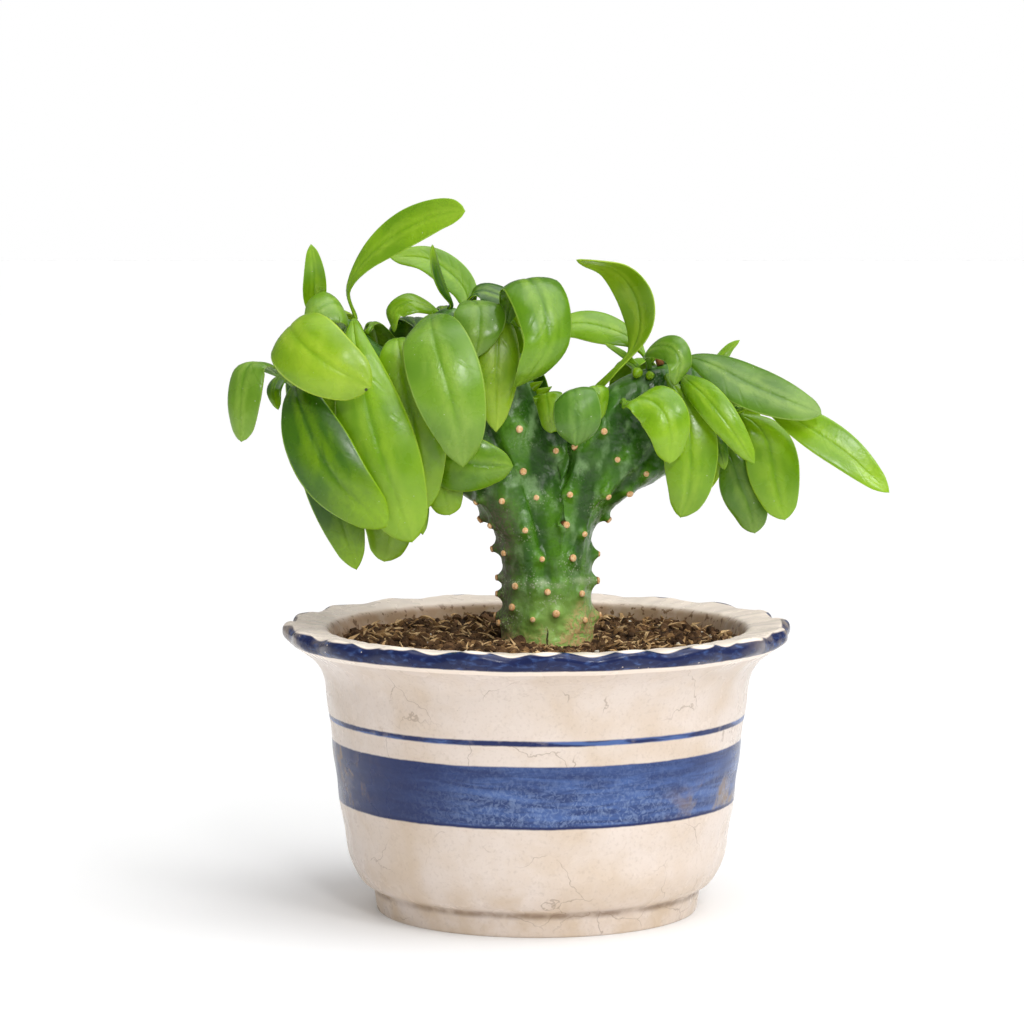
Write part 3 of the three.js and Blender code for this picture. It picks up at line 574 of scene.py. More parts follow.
@dataclass(frozen=True)
class StemFinish:
    """Waxy green stem skin with painted shade and painted sheen: dark valleys, lighter tubercles, grime and
    shade on the left, whitish scurf lower down and a corky foot.
    """

    green: Colour = (86, 138, 28)
    shade: Colour = (52, 102, 18)
    # Painted shade: the dark green laid into the valleys.
    deep: Colour = (22, 58, 8)
    # Painted sheen: whitish colour standing in for soft reflections on the ridges.
    painted_sheen: Colour = (140, 178, 116)
    # Painted highlight: the lighter green of the risen tubercles.
    ridge: Colour = (104, 154, 48)
    cork: Colour = (206, 170, 118)
    # Paler skin of the foot: partly its own colour, partly painted light on the right.
    foot: Colour = (160, 198, 100)
    scurf: Colour = (196, 208, 172)
    # Grey-brown of real grime and of painted shade on the left margin.
    grime_and_shade: Colour = (92, 84, 66)
    crack: Colour = (58, 42, 26)
    foot_top: Span = (152, 126)
    grime_and_shade_left_of: Span = (-4, -14)
    grime_and_shade_below: Span = (184, 158)
    flecks_below: Span = (196, 128)
    cork_below: Span = (131, 118)
    scurf_line: Span = (139.6, 142.0)
    crack_across: Span = (5.0, 5.7)
    crack_heights: Span = (111.0, 119.0)

    def dress(self) -> bpy.types.Material:
        """Returns the skin as a material; swell and the painted shade of the valleys are kept by the mesh."""
        s = Shader("stem_skin")
        x, z = s.mm(s.x), s.mm(s.z)
        low = s.ramp(s.plus(z, s.times(s.noise(8, 3), 16.0)), *self.foot_top)
        # Left margin: partly real speckled grime, partly painted shade on the side away from the light.
        grimy_and_shaded = s.times(s.ramp(x, *self.grime_and_shade_left_of), s.ramp(z, *self.grime_and_shade_below))
        specks = s.math("MAXIMUM", s.ramp(s.cells(1.2), 0.34, 0.2), s.ramp(s.noise(1.7, 4), 0.6, 0.68))
        flecks = s.times(specks, s.ramp(s.noise(9, 3), 0.5, 0.66), s.ramp(z, *self.flecks_below, 0.15, 0.6))
        ragged = s.minus(s.plus(z, s.times(s.noise(6, 4), 20.0)), s.ramp(x, 6, 20, 0.0, 12.0))
        corky = s.times(s.ramp(ragged, *self.cork_below), s.ramp(s.noise(1.8, 4, 0.6), 0.4, 0.56))
        line = s.band(s.plus(z, s.times(s.noise(7, 4), 5.0)), *self.scurf_line, 1.2)
        broken = s.math("MAXIMUM", s.ramp(s.noise(5, 3), 0.4, 0.7, 0.1, 0.6), specks)
        split = s.times(s.band(s.plus(x, s.times(s.noise(3, 3), 2.4)), *self.crack_across, 0.25),
                        s.band(z, *self.crack_heights, 1.0))
        colour = s.layered(
            self.shade,
            (self.green, s.ramp(s.noise(15, 4, 0.3, (1.4, 1.4, 0.7)), 0.35, 0.7)),
            # Painted shade: the valleys of the folds and pleats are painted dark green.
            (self.deep, s.ramp(s.attribute("furrow"), 0.15, 0.9, 0.0, 0.8)),
            # Painted highlight: the risen tubercles are painted a lighter green.
            (self.ridge, s.ramp(s.attribute("swell"), 0.3, 1.0, 0.0, 0.5)),
            # Painted sheen: soft whitish patches where the ridges would reflect light.
            (self.painted_sheen, s.ramp(s.noise(8, 3, 0.3, (1.3, 1.3, 0.7)), 0.52, 0.72, 0.0, 0.62)),
            (self.shade, s.ramp(s.noise(0.9, 3), 0.44, 0.7, 0.0, 0.35)),
            # The foot's paler skin is partly its own colour and partly painted light, laid on more towards
            # the lit right side.
            (self.foot, low, s.ramp(x, -10, 10, 0.45, 0.92)),
            # Grey-brown speckle on the left margin: partly grime, partly painted shade.
            (self.grime_and_shade, grimy_and_shaded, s.ramp(s.noise(1.0, 4), 0.42, 0.58, 0.35, 0.95)),
            (self.scurf, flecks),
            (self.cork, corky, 0.92),
            (self.scurf, line, broken, 0.7),
            (self.crack, split))
        s.set(Base_Color=colour, Specular_IOR_Level=0.38,
              Roughness=s.plus(s.ramp(s.noise(10, 3), 0.3, 0.7, 0.24, 0.38), s.times(grimy_and_shaded, 0.3)))
        relief = s.plus(s.times(s.noise(2.4, 4), 0.5), s.times(flecks, 0.3), s.times(s.noise(5.5, 2), 1.4),
                        s.times(corky, 0.6))
        s.bump(s.minus(relief, split), 0.6, 0.6)
        return s.material


@dataclass(frozen=True)
class ScarFinish:
    """Dry tan cork of the pegs that fallen leaves leave, with a brown rim where it meets the skin."""

    tip: Colour = (252, 216, 168)
    base: Colour = (230, 174, 114)
    rim: Colour = (142, 90, 50)
    rim_height: Span = (0.84, 0.68)

    def dress(self) -> bpy.types.Material:
        """Returns the cork as a material; height is kept by the mesh."""
        s = Shader("scar_cork")
        colour = s.layered(self.base, (self.tip, s.ramp(s.noise(1.1, 3), 0.36, 0.66)),
                           (self.rim, s.ramp(s.attribute("height"), *self.rim_height)))
        s.set(Base_Color=colour, Roughness=0.75, Specular_IOR_Level=0.3)
        s.bump(s.noise(0.5, 2), 0.2, 0.6)
        return s.material


@dataclass(frozen=True)
class LeafFinish:
    """Smooth fleshy leaf skin: a midrib groove in painted shade with painted highlights beside it, faint side
    veins, tips painted paler as painted light, a pale edge and tiny specks.
    """

    name: str
    green: Colour
    deep: Colour
    pale: Colour
    rib: float = 1.0
    # How much paler the tips are painted, as painted light shining through them.
    bright_tip: float = 0.3
    spot: tuple[float, float] | None = None
    spot_radius: Span = (0.9, 0.4)
    speck: Colour = (226, 234, 206)
    mark: Colour = (44, 58, 14)
    # Painted shade along the midrib groove: where it fades across the blade.
    groove_side: Span = (0.07, 0.0)
    edge_side: Span = (0.94, 0.985)
    vein_spacing: float = 60.0
    vein_slant: float = -11.0

    def dress(self) -> bpy.types.Material:
        """Returns the skin as a material; across and along follow the blade."""
        s = Shader(self.name)
        across, along, _ = s.split(s.node("ShaderNodeUVMap", uv_map="blade").outputs[0])
        side = s.math("ABSOLUTE", s.minus(s.times(across, 2.0), 1.0))
        lengthwise = s.join(s.times(across, 0.03), s.times(along, 0.04), s.x)
        swing = s.plus(s.times(along, self.vein_spacing), s.times(side, self.vein_slant))
        veins = s.times(s.ramp(s.math("SINE", swing), 0.55, 1.0), s.ramp(s.noise(8, 2), 0.4, 0.7))
        colour = s.layered(
            self.deep,
            (self.green, s.ramp(s.noise(30, 2, 0.3), 0.36, 0.66)),
            (self.pale, s.ramp(s.noise(7, 3, 0.3, at=lengthwise), 0.44, 0.7), s.ramp(side, 0.95, 0.3), 0.28),
            # Painted highlight: a pale band either side of the midrib.
            (self.pale, s.band(side, 0.1, 0.34, 0.1), s.ramp(along, 0.15, 0.45), 0.22),
            (self.deep, veins, 0.12),
            # Painted shade: the midrib groove is painted darker, as shade in the crease.
            (self.deep, s.ramp(side, *self.groove_side), s.ramp(along, 0.97, 0.6),
             s.ramp(s.noise(12, 2), 0.38, 0.62, 0.1 * self.rib, 0.6 * self.rib)),
            # Painted light: the tips are painted paler, as if lit through.
            (self.pale, s.ramp(along, 0.66, 1.0, 0.0, self.bright_tip)),
            (self.deep, s.ramp(s.noise(1.3, 3), 0.42, 0.7, 0.0, 0.16)),
            (self.pale, s.ramp(side, *self.edge_side, 0.0, 0.7)),
            (self.speck, s.ramp(s.cells(3.6), 0.06, 0.035), s.ramp(s.noise(12, 2), 0.46, 0.56), 0.8))
        if self.spot:
            away = s.length(*(s.minus(s.mm(axis), at) for axis, at in zip((s.x, s.z), self.spot)))
            colour = s.layered(colour, (self.mark, s.ramp(away, *self.spot_radius)))
        s.set(Base_Color=colour, Roughness=s.ramp(s.noise(11, 3), 0.3, 0.7, 0.2, 0.34),
              Specular_IOR_Level=0.42, Subsurface_Weight=0.06,
              Subsurface_Radius=(0.0015, 0.003, 0.0005), Subsurface_Scale=1.0)
        relief = s.plus(s.times(s.noise(1.3, 2), 0.12), s.times(s.noise(6, 2), 0.5),
                        s.times(s.noise(2.6, 3, 1.6), s.ramp(side, 0.5, 0.05), 0.45))
        s.bump(s.minus(relief, s.times(veins, 0.15)), 0.45, 0.6)
        return s.material


Finish = GlazeFinish | EarthFinish | StemFinish | ScarFinish | LeafFinish


class Tone(Enum):
    """Greens that the leaves come in; on leaf_right_tall the paler tone partly stands in for light, as that
    leaf faces down.
    """

    LIGHT = LeafFinish("leaf_light", (138, 176, 20), (110, 151, 10), (180, 207, 64), spot=(-68.9, 220.0))
    MID = LeafFinish("leaf_mid", (130, 174, 14), (102, 148, 6), (168, 204, 58))
    GREY = LeafFinish("leaf_grey", (116, 158, 38), (88, 132, 22), (158, 190, 80))
    COOL = LeafFinish("leaf_cool", (98, 140, 28), (74, 116, 16), (150, 182, 74))
    DEEP = LeafFinish("leaf_deep", (104, 150, 14), (76, 120, 6), (156, 194, 62))
    DARK = LeafFinish("leaf_dark", (64, 108, 2), (46, 88, 2), (142, 184, 6), bright_tip=0.8)
    HOOD = LeafFinish("leaf_hood", (80, 126, 28), (48, 92, 14), (140, 178, 84), rib=0.15, bright_tip=0.2)


class Dresser:
    """Makes each finish once and hands it out again."""

    def __init__(self) -> None:
        """Starts with no materials made."""
        self.made: dict[object, bpy.types.Material] = {}

    def material(self, finish: Finish) -> bpy.types.Material:
        """Returns the material of a finish, made on first use."""
        if finish not in self.made:
            self.made[finish] = finish.dress()
        return self.made[finish]


def closed(piece: bpy.types.Object) -> bpy.types.Object:
    """Merges corners that lie together, so that poles and seams are closed, and turns the faces outwards."""
    work = bmesh.new()
    work.from_mesh(piece.data)
    bmesh.ops.remove_doubles(work, verts=work.verts, dist=MERGE_WITHIN * MM)
    bmesh.ops.dissolve_degenerate(work, dist=SHORTEST_EDGE * MM, edges=work.edges)
    bmesh.ops.recalc_face_normals(work, faces=work.faces)
    work.to_mesh(piece.data)
    work.free()
    piece.data.update()
    return piece


@dataclass
class RuffledPot:
    """The turned stoneware pot: a footed wall under a flared lip that is pinched into ruffles.

    Each corner of the outline is a radius, a height and a rounding, from the middle of the underside round
    the lip to the middle of the floor inside.
    """

    sides: int = 420
    longest: float = 2.4
    ruffles: int = 20
    ruffle_turn: float = math.radians(3)
    ruffle_start: float = 95.0
    ruffle_full: float = 104.6
    ruffle_out: float = 1.3
    ruffle_up: float = 1.25
    ruffle_calm: float = 0.35
    lip_inside: Span = (86, 90)
    lip_outside: Span = (101, 104)
    lip_rise: Span = (112, 118)
    lip_ripples: Span = (0.1, 0.12)
    body_foot: Span = (14, 30)
    body_top: Span = (100, 106)
    body_waves: Span = (0.22, 0.2)
    body_worn: float = 0.3
    drain_holes: int = 3
    drain_radius: float = 5.0
    drain_circle: float = 34.0
    drill_sides: int = 32
    drill_length: float = 40.0
    outline: list[Triple] = field(default_factory=lambda: [
        (0, 0, 0), (67, 0, 1.0), (68.2, 8.6, 0.8), (68.9, 10, 0.6), (73.4, 12.6, 2.2), (78.4, 21, 6),
        (82.7, 46, 14), (87.4, 86, 14), (89.4, 99, 6), (92.4, 105.4, 4), (97.5, 109.2, 4), (104.6, 114, 2.2),
        (104.6, 118, 1.6), (102.6, 120, 1.6), (87, 118.4, 3.0), (83.4, 108, 5), (77.5, 38, 10),
        (70, 16, 4), (0, 12, 0)])

    def wall(self) -> bpy.types.Object:
        """Returns the turned wall before its lip is pinched, with the slight waves of hand work."""
        outline = divided(rounded(self.outline), self.longest)
        points = turned(outline, self.sides)
        angle = np.arctan2(points[:, 0], -points[:, 1])
        radius, height = np.hypot(points[:, 0], points[:, 1]), points[:, 2]
        fine, broad = self.lip_ripples
        ripple = fine * np.sin(angle * 61 + 1.7 * np.sin(angle * 7)) + broad * np.sin(angle * 33 + 2)
        height += plateau(radius, self.lip_inside, self.lip_outside) * smooth(height, *self.lip_rise) * ripple
        rings, leans = self.body_waves
        uneven = rings * np.sin(height * 0.31 + np.sin(angle * 2)) + leans * np.sin(angle * 5 + height * 0.05)
        body = plateau(height, self.body_foot, self.body_top)
        points[:, :2] *= (1 + body * (uneven - self.body_worn) / np.maximum(radius, 1))[:, None]
        return closed(mesh_object("pot_wall", points, ring_faces(len(outline), self.sides)))

    def build(self, dresser: Dresser) -> bpy.types.Object:
        """Pinches the lip, cuts the drain holes and dresses the pot.

        Args:
            dresser: Holder of the materials.

        Returns:
            The finished pot.
        """
        tree = Tree("ruffled_lip")
        count = tree.size("Ruffles", float(self.ruffles))
        turn = tree.size("Turn", self.ruffle_turn)
        start = tree.size("Start radius", self.ruffle_start * MM)
        full = tree.size("Full radius", self.ruffle_full * MM)
        out = tree.size("Out", self.ruffle_out * MM)
        up = tree.size("Up", self.ruffle_up * MM)
        calm = tree.size("Calm at the back", self.ruffle_calm)
        holes = tree.size("Drain holes", self.drain_holes, "NodeSocketInt")
        hole_radius = tree.size("Drain radius", self.drain_radius * MM)
        hole_circle = tree.size("Drain circle", self.drain_circle * MM)
        x, y, _ = tree.split(tree.geometry("GeometryNodeInputPosition"))
        radius = tree.length(x, y)
        angle = tree.math("ARCTAN2", x, tree.times(y, -1.0))
        wave = tree.times(tree.math("COSINE", tree.times(count, tree.minus(angle, turn))),
                          tree.ramp(radius, start, full))
        outward = tree.math("DIVIDE", tree.times(wave, out), radius)
        front = tree.times(calm, tree.math("COSINE", angle))
        rise = tree.times(up, tree.plus(tree.minus(1.0, calm), front))
        offset = tree.join(tree.times(x, outward), tree.times(y, outward), tree.times(wave, rise))
        lip = tree.geometry("GeometryNodeSetPosition", {"Geometry": tree.start.outputs[0], "Offset": offset})
        places = tree.geometry("GeometryNodeMeshCircle", {"Vertices": holes, "Radius": hole_circle})
        drill = tree.geometry("GeometryNodeMeshCylinder", {
            "Vertices": self.drill_sides, "Radius": hole_radius, "Depth": self.drill_length * MM})
        drills = tree.geometry("GeometryNodeInstanceOnPoints", {"Points": places, "Instance": drill})
        drills = tree.geometry("GeometryNodeRealizeInstances", {"Geometry": drills})
        cut = tree.geometry("GeometryNodeMeshBoolean", {"Mesh 1": lip, "Mesh 2": drills},
                            operation="DIFFERENCE")
        piece = tree.finish_on(self.wall(), cut, dresser.material(GlazeFinish()), "glazed_pot")
        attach(piece, "root")
        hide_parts("pot")
        return piece


# A bit of the soil: radius and height of each corner of its turned outline, as shares of its size
BIT_OUTLINE: tuple[Span, ...] = (
    (0.0, -0.5), (0.36, -0.42), (0.5, -0.05), (0.43, 0.3), (0.2, 0.5), (0.0, 0.52))
BIT_SIDES = 6
BIT_WARP = 0.12
BIT_WARP_WAVE = 5.0


@dataclass(frozen=True)
class Scatter:
    """A loose kind of bit that lies on the soil."""

    name: str
    finish: EarthFinish
    size: Triple
    per_square_metre: float
    smallest: float
    largest: float
    tilt: float
    lift: float
    seed: int
    curl: float = 0.0

    def bit(self) -> bpy.types.Object:
        """Returns one bit: a small faceted lump of the kind's own length, width and thickness."""
        length, width, _ = self.size
        points = np.roll(turned(np.array(BIT_OUTLINE), BIT_SIDES), -1, axis=1) * self.size
        along = points[:, 0] / length
        points[:, 2] += BIT_WARP * width * np.sin(along * BIT_WARP_WAVE)
        points[:, 1] += self.curl * np.cos(along * math.pi)
        faces = ring_faces(len(BIT_OUTLINE), BIT_SIDES)
        return closed(mesh_object(f"{self.name}_bit", points, faces, soft=False))


@dataclass
class SoilBed:
    """The bed of potting mix that fills the pot, with a blind hole for the stem and bits lying on it."""

    sides: int = 320
    top_rows: int = 88
    wall: tuple[Span, ...] = ((0, 12.3), (69.5, 16.9), (77, 38), (83.3, SOIL_TOP))
    wall_longest: float = 8.0
    flat_edge: float = 80.0
    crumbs_past_edge: float = 2.5
    centred_from: float = 60.0
    broad_lumps: float = 1.3
    small_lumps: float = 0.9
    crumbles: tuple[Crumble, ...] = (Crumble(0.9, 5.5, 3, 1.0), Crumble(0.4, 1.9, 2, 2.0))
    heap_at: Span = (-13.0, -20.0)
    heap_reach: Span = (8.0, 4.5)
    heap_height: float = 2.6
    top_depth: float = 5.0
    top_slope: float = 0.3
    gnarl_scale: float = 620.0
    gnarl: float = 1.6
    peat: EarthFinish = EarthFinish("soil_peat", (46, 33, 23), (104, 78, 54), 1.4)
    kinds: tuple[Scatter, ...] = (
        Scatter("soil_crumbs", EarthFinish("soil_crumb", (52, 36, 24), (126, 94, 64)), (3.1, 2.5, 1.9),
                per_square_metre=70000, smallest=0.35, largest=1.9, tilt=3.1, lift=0.4, seed=3),
        Scatter("soil_bark", EarthFinish("soil_bark", (84, 60, 38), (178, 138, 92)), (4.4, 2.2, 0.8),
                per_square_metre=26000, smallest=0.3, largest=1.6, tilt=0.9, lift=0.6, seed=5, curl=0.7),
        Scatter("soil_fibres", EarthFinish("soil_fibre", (168, 130, 86), (238, 206, 156)), (6.6, 0.8, 0.5),
                per_square_metre=40000, smallest=0.35, largest=1.5, tilt=0.8, lift=1.0, seed=8, curl=2.0),
        Scatter("soil_grit", EarthFinish("soil_grit", (196, 184, 162), (232, 226, 214)), (1.8, 1.5, 1.2),
                per_square_metre=3000, smallest=0.5, largest=1.3, tilt=3.1, lift=0.7, seed=12))

    def bed(self, dresser: Dresser) -> bpy.types.Object:
        """Returns the bed as one closed solid with a crumbly top."""
        hole = STEM_RADII[1] + FIT_GAP
        top = [(r, SOIL_TOP) for r in np.linspace(self.wall[-1][0], hole, self.top_rows)[1:]]
        walls = divided(np.array(self.wall, dtype=float), self.wall_longest)
        outline = np.vstack([walls, top, [(hole, STEM_BOTTOM - FIT_GAP), (0, STEM_BOTTOM - FIT_GAP)]])
        points = turned(outline, self.sides)
        radius = np.hypot(points[:, 0], points[:, 1])
        inside = (radius > hole + FIT_GAP) & (radius < self.flat_edge + self.crumbs_past_edge)
        loose = (points[:, 2] == SOIL_TOP) & inside
        crumbs = points[loose]
        x, y = crumbs[:, 0], crumbs[:, 1]
        lump = self.broad_lumps * np.sin(x * 0.11 + 1.3) * np.cos(y * 0.13 - 0.4)
        lump += self.small_lumps * np.sin(x * 0.43 + y * 0.31) * np.cos(y * 0.47 - x * 0.17)
        lump *= smooth(self.flat_edge + 1 - radius[loose], 0, 3)
        lump += sum(crumble.at(crumbs) for crumble in self.crumbles)
        far = [((axis - at) / reach) ** 2 for axis, at, reach in zip((x, y), self.heap_at, self.heap_reach)]
        lump += self.heap_height * np.exp(-far[0] - far[1])
        points[loose, 2] += lump
        shift = STEM_X * (1 - smooth(radius, hole, self.centred_from)) * (points[:, 2] > STEM_BOTTOM - 1)
        points[:, 0] += shift
        piece = closed(mesh_object("soil_bed", points, ring_faces(len(outline), self.sides)))
        piece.data.materials.append(dresser.material(self.peat))
        return piece

    def scatter(self, kind: Scatter, bed: bpy.types.Object, dresser: Dresser) -> bpy.types.Object:
        """Strews one kind of bit over the top of the bed.

        Args:
            kind: The kind of bit.
            bed: The bed that they lie on.
            dresser: Holder of the materials.

        Returns:
            All bits of the kind as one piece.
        """
        bit = kind.bit()
        tree = Tree(kind.name)
        shape = tree.size("Bit", bit, "NodeSocketObject")
        density = tree.size("Bits per square metre", kind.per_square_metre)
        smallest = tree.size("Smallest scale", kind.smallest)
        largest = tree.size("Largest scale", kind.largest)
        tilt = tree.size("Tilt", kind.tilt)
        lift = tree.size("Lift", kind.lift * MM)
        seed = tree.size("Seed", kind.seed, "NodeSocketInt")
        height = tree.split(tree.geometry("GeometryNodeInputPosition"))[2]
        upright = tree.split(tree.geometry("GeometryNodeInputNormal"))[2]
        top = tree.times(tree.math("GREATER_THAN", height, (SOIL_TOP - self.top_depth) * MM),
                         tree.math("GREATER_THAN", upright, self.top_slope))
        points = tree.geometry("GeometryNodeDistributePointsOnFaces", {
            "Mesh": tree.start.outputs[0], "Selection": top, "Density": density, "Seed": seed})
        points = tree.geometry("GeometryNodeSetPosition", {
            "Geometry": points, "Offset": tree.join(0.0, 0.0, lift)})
        back = tree.times(tilt, -1.0)
        turn = tree.chance(tree.join(back, back, 0.0), tree.join(tilt, tilt, 2 * math.pi), seed,
                           "FLOAT_VECTOR")
        bits = tree.copies(shape, points, turn, tree.chance(smallest, largest, seed))
        gnarl = tree.node("ShaderNodeTexNoise", {"Scale": self.gnarl_scale, "Detail": 1.0})
        centred = tree.geometry("ShaderNodeVectorMath", {0: gnarl.outputs[1], 1: (0.5, 0.5, 0.5)},
                                operation="SUBTRACT")
        bent = tree.geometry("ShaderNodeVectorMath", {0: centred, "Scale": self.gnarl * MM},
                             operation="SCALE")
        rugged = tree.geometry("GeometryNodeSetPosition", {"Geometry": bits, "Offset": bent})
        source = bed.copy()
        source.data = bed.data.copy()
        bpy.context.collection.objects.link(source)
        piece = tree.finish_on(source, rugged, dresser.material(kind.finish), kind.name, soft=False)
        bpy.data.objects.remove(bit)
        return piece

    def build(self, dresser: Dresser) -> list[bpy.types.Object]:
        """Returns the dressed bed and its bits."""
        bed = self.bed(dresser)
        pieces = [bed] + [self.scatter(kind, bed, dresser) for kind in self.kinds]
        for piece in pieces:
            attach(piece, "root")
        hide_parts("soil")
        return pieces


GROWTH_LINES: tuple[tuple[Triple, Triple, Triple], ...] = (
    ((-25, 0, 169), (-58, 0, 184), (-98, 0, 212)),
    ((-22, 0, 174), (-52, 0, 199), (-84, 4, 247)),
    ((-19, -1, 178), (-40, -2, 207), (-61, 2, 234)),
    ((-14, -1, 182), (-28, -2, 215), (-35, -4, 251)),
    ((-7, 0, 180), (-10, -1, 202), (-7, 3, 226)),
    ((6, 0, 172), (12, 1.5, 184), (17, 4.5, 197)),
    ((13, 0, 175), (22, 0, 196), (28, -3, 217)),
    ((18, -1, 173), (33, -2, 198), (47, -3, 226)),
    ((22, 0, 169), (43, 1, 190), (68, 5, 225)),
    ((26, 0, 163), (51, 0, 180), (87, 1, 203)),
)

FRONT_STUBS: tuple[tuple[float, float], ...] = (
    (-8, 202), (-6, 184), (-23, 173), (-14, 172), (0, 173), (6, 192), (17, 193), (28, 201), (34, 189),
    (13, 175), (28, 175), (37, 175), (-17, 162), (-24, 162), (-5, 161), (11, 162), (18, 159), (30, 162),
    (-12, 150), (-19, 150), (1, 148), (13, 148), (25, 149), (-8, 137), (-17, 139), (4, 135), (17, 134),
    (25, 138), (-15, 131), (-9, 127), (8, 125), (-1, 123), (18, 122), (-13, 121), (44, 207), (45, 183),
)


@dataclass
class CrestForm:
    """The crest's skin: growth lines that climb the stem and spread into the fan."""

    levels: Triple = (STEM_BOTTOM, 105.0, 142.0)
    fan_half_thickness: Triple = (14.5, 12.5, 10.5)
    scar_level: float = 138.5
    scar_step: float = 1.1
    scar_swells_from: float = 126.0
    scar_ends_at: float = 141.0
    fold_height: float = 1.3
    folds_begin: float = 118.0
    folds_full: float = 140.0
    stem_ridges: int = 3
    fan_ridges: int = 7
    ridges_split: Span = (0.5, 0.75)
    edge_round_from: float = 0.88
    facing_step: float = 0.07
    normal_step: float = 0.004
    lines: np.ndarray = field(init=False)
    thickness: np.ndarray = field(init=False)

    def __post_init__(self) -> None:
        """Joins each line's stem points to its fan points."""
        joined = []
        for i, fan in enumerate(GROWTH_LINES):
            across = i / (len(GROWTH_LINES) - 1) * 2 - 1
            stem = [(STEM_X + radius * across, 0, z) for radius, z in zip(STEM_RADII, self.levels)]
            joined.append([*stem, *fan])
        self.lines = np.array(joined, dtype=float)
        self.thickness = np.array([*STEM_RADII, *self.fan_half_thickness])[:, None]

    def rows(self, up: np.ndarray) -> np.ndarray:
        """Returns the points where the growth lines cross each height, as heights x lines x 3."""
        count, points, _ = self.lines.shape
        flat = self.lines.transpose(1, 0, 2).reshape(points, count * 3)
        return catmull(flat, up).reshape(len(up), count, 3)

    def middle(self, across: np.ndarray, up: np.ndarray) -> np.ndarray:
        """Returns points of the middle sheet, for across from -1 to 1 and up from 0 to 1."""
        return catmull(self.rows(up), (across + 1) / 2)

    def facing(self, across: np.ndarray, up: np.ndarray) -> np.ndarray:
        """Returns the way that the middle sheet's front looks."""
        step = self.facing_step
        a, u = np.clip(across, -1 + step, 1 - step), np.clip(up, step, 1 - step)
        sideways = self.middle(a + step, u) - self.middle(a - step, u)
        upwards = self.middle(a, u + step) - self.middle(a, u - step)
        return unit(np.cross(sideways, upwards))

    def ridge(self, across: np.ndarray, up: np.ndarray) -> np.ndarray:
        """Returns -1 in the valleys and 1 on the backs of the broad folds, which split as the fan widens."""
        few, many = (-np.cos(count * math.pi * across) for count in (self.stem_ridges, self.fan_ridges))
        return few + (many - few) * smooth(up, *self.ridges_split)

    def section(self, turn: np.ndarray, up: np.ndarray) -> tuple[np.ndarray, np.ndarray, np.ndarray]:
        """Follows the outline of the crest's rows.

        Args:
            turn: Place round the outline, from 0 at the left margin; turns below a half are the front.
            up: Place up the growth lines.

        Returns:
            Place across the middle sheet, share of the half thickness in front of it, and the half thickness.
        """
        thickness = catmull(self.thickness, up)[:, 0]
        rows = self.rows(up)
        half_length = np.linalg.norm(np.diff(rows, axis=1), axis=2).sum(axis=1) / 2
        flat = np.maximum(0.0, 1 - thickness / half_length)
        end = 1 - flat
        quarter, run = math.pi * end / 2, 2 * flat
        along = turn * (4 * quarter + 2 * run)
        first, second = along - quarter, along - quarter - run
        third, fourth = second - 2 * quarter, second - 2 * quarter - run
        places = [along < quarter, first < run, second < 2 * quarter, third < run]
        across = np.select(places, [-flat - end * np.cos(along / end), -flat + first,
                                    flat + end * np.sin(second / end), flat - third],
                           -flat - end * np.sin(fourth / end))
        front = np.select(places, [np.sin(along / end), 1.0, np.cos(second / end), -1.0],
                          -np.cos(fourth / end))
        return across, front, thickness

    def skin(self, turn: np.ndarray, up: np.ndarray) -> np.ndarray:
        """Returns points of the skin, in millimetres, before the tubercles rise from it."""
        across, front, thickness = self.section(turn, up)
        edge = np.maximum(0.0, (up - self.edge_round_from) / (1 - self.edge_round_from))
        rounding = np.sqrt(np.maximum(0.0, 1 - edge * edge))
        middle = self.middle(across, up)
        height = middle[:, 2]
        fold = self.fold_height * smooth(height, self.folds_begin, self.folds_full) * self.ridge(across, up)
        scar = self.scar_step * plateau(height, (self.scar_swells_from, self.scar_level),
                                        (self.scar_level, self.scar_ends_at))
        return middle + self.facing(across, up) * (front * (thickness + scar + fold) * rounding)[:, None]

    def normal(self, turn: np.ndarray, up: np.ndarray) -> np.ndarray:
        """Returns the way that the skin looks."""
        step = self.normal_step
        u = np.clip(up, 2 * step, 1 - 2 * step)
        around = self.skin((turn + step) % 1, u) - self.skin((turn + 1 - step) % 1, u)
        upwards = self.skin(turn, u + step) - self.skin(turn, u - step)
        return unit(np.cross(around, upwards))


# A cork peg: radius and height of each corner of its turned outline, as shares of its own
PEG_OUTLINE: tuple[Span, ...] = (
    (0, 0), (1.1, 0), (1.06, 0.6), (0.98, 0.76), (0.95, 0.86), (0.78, 0.95), (0.4, 1), (0, 0.98))


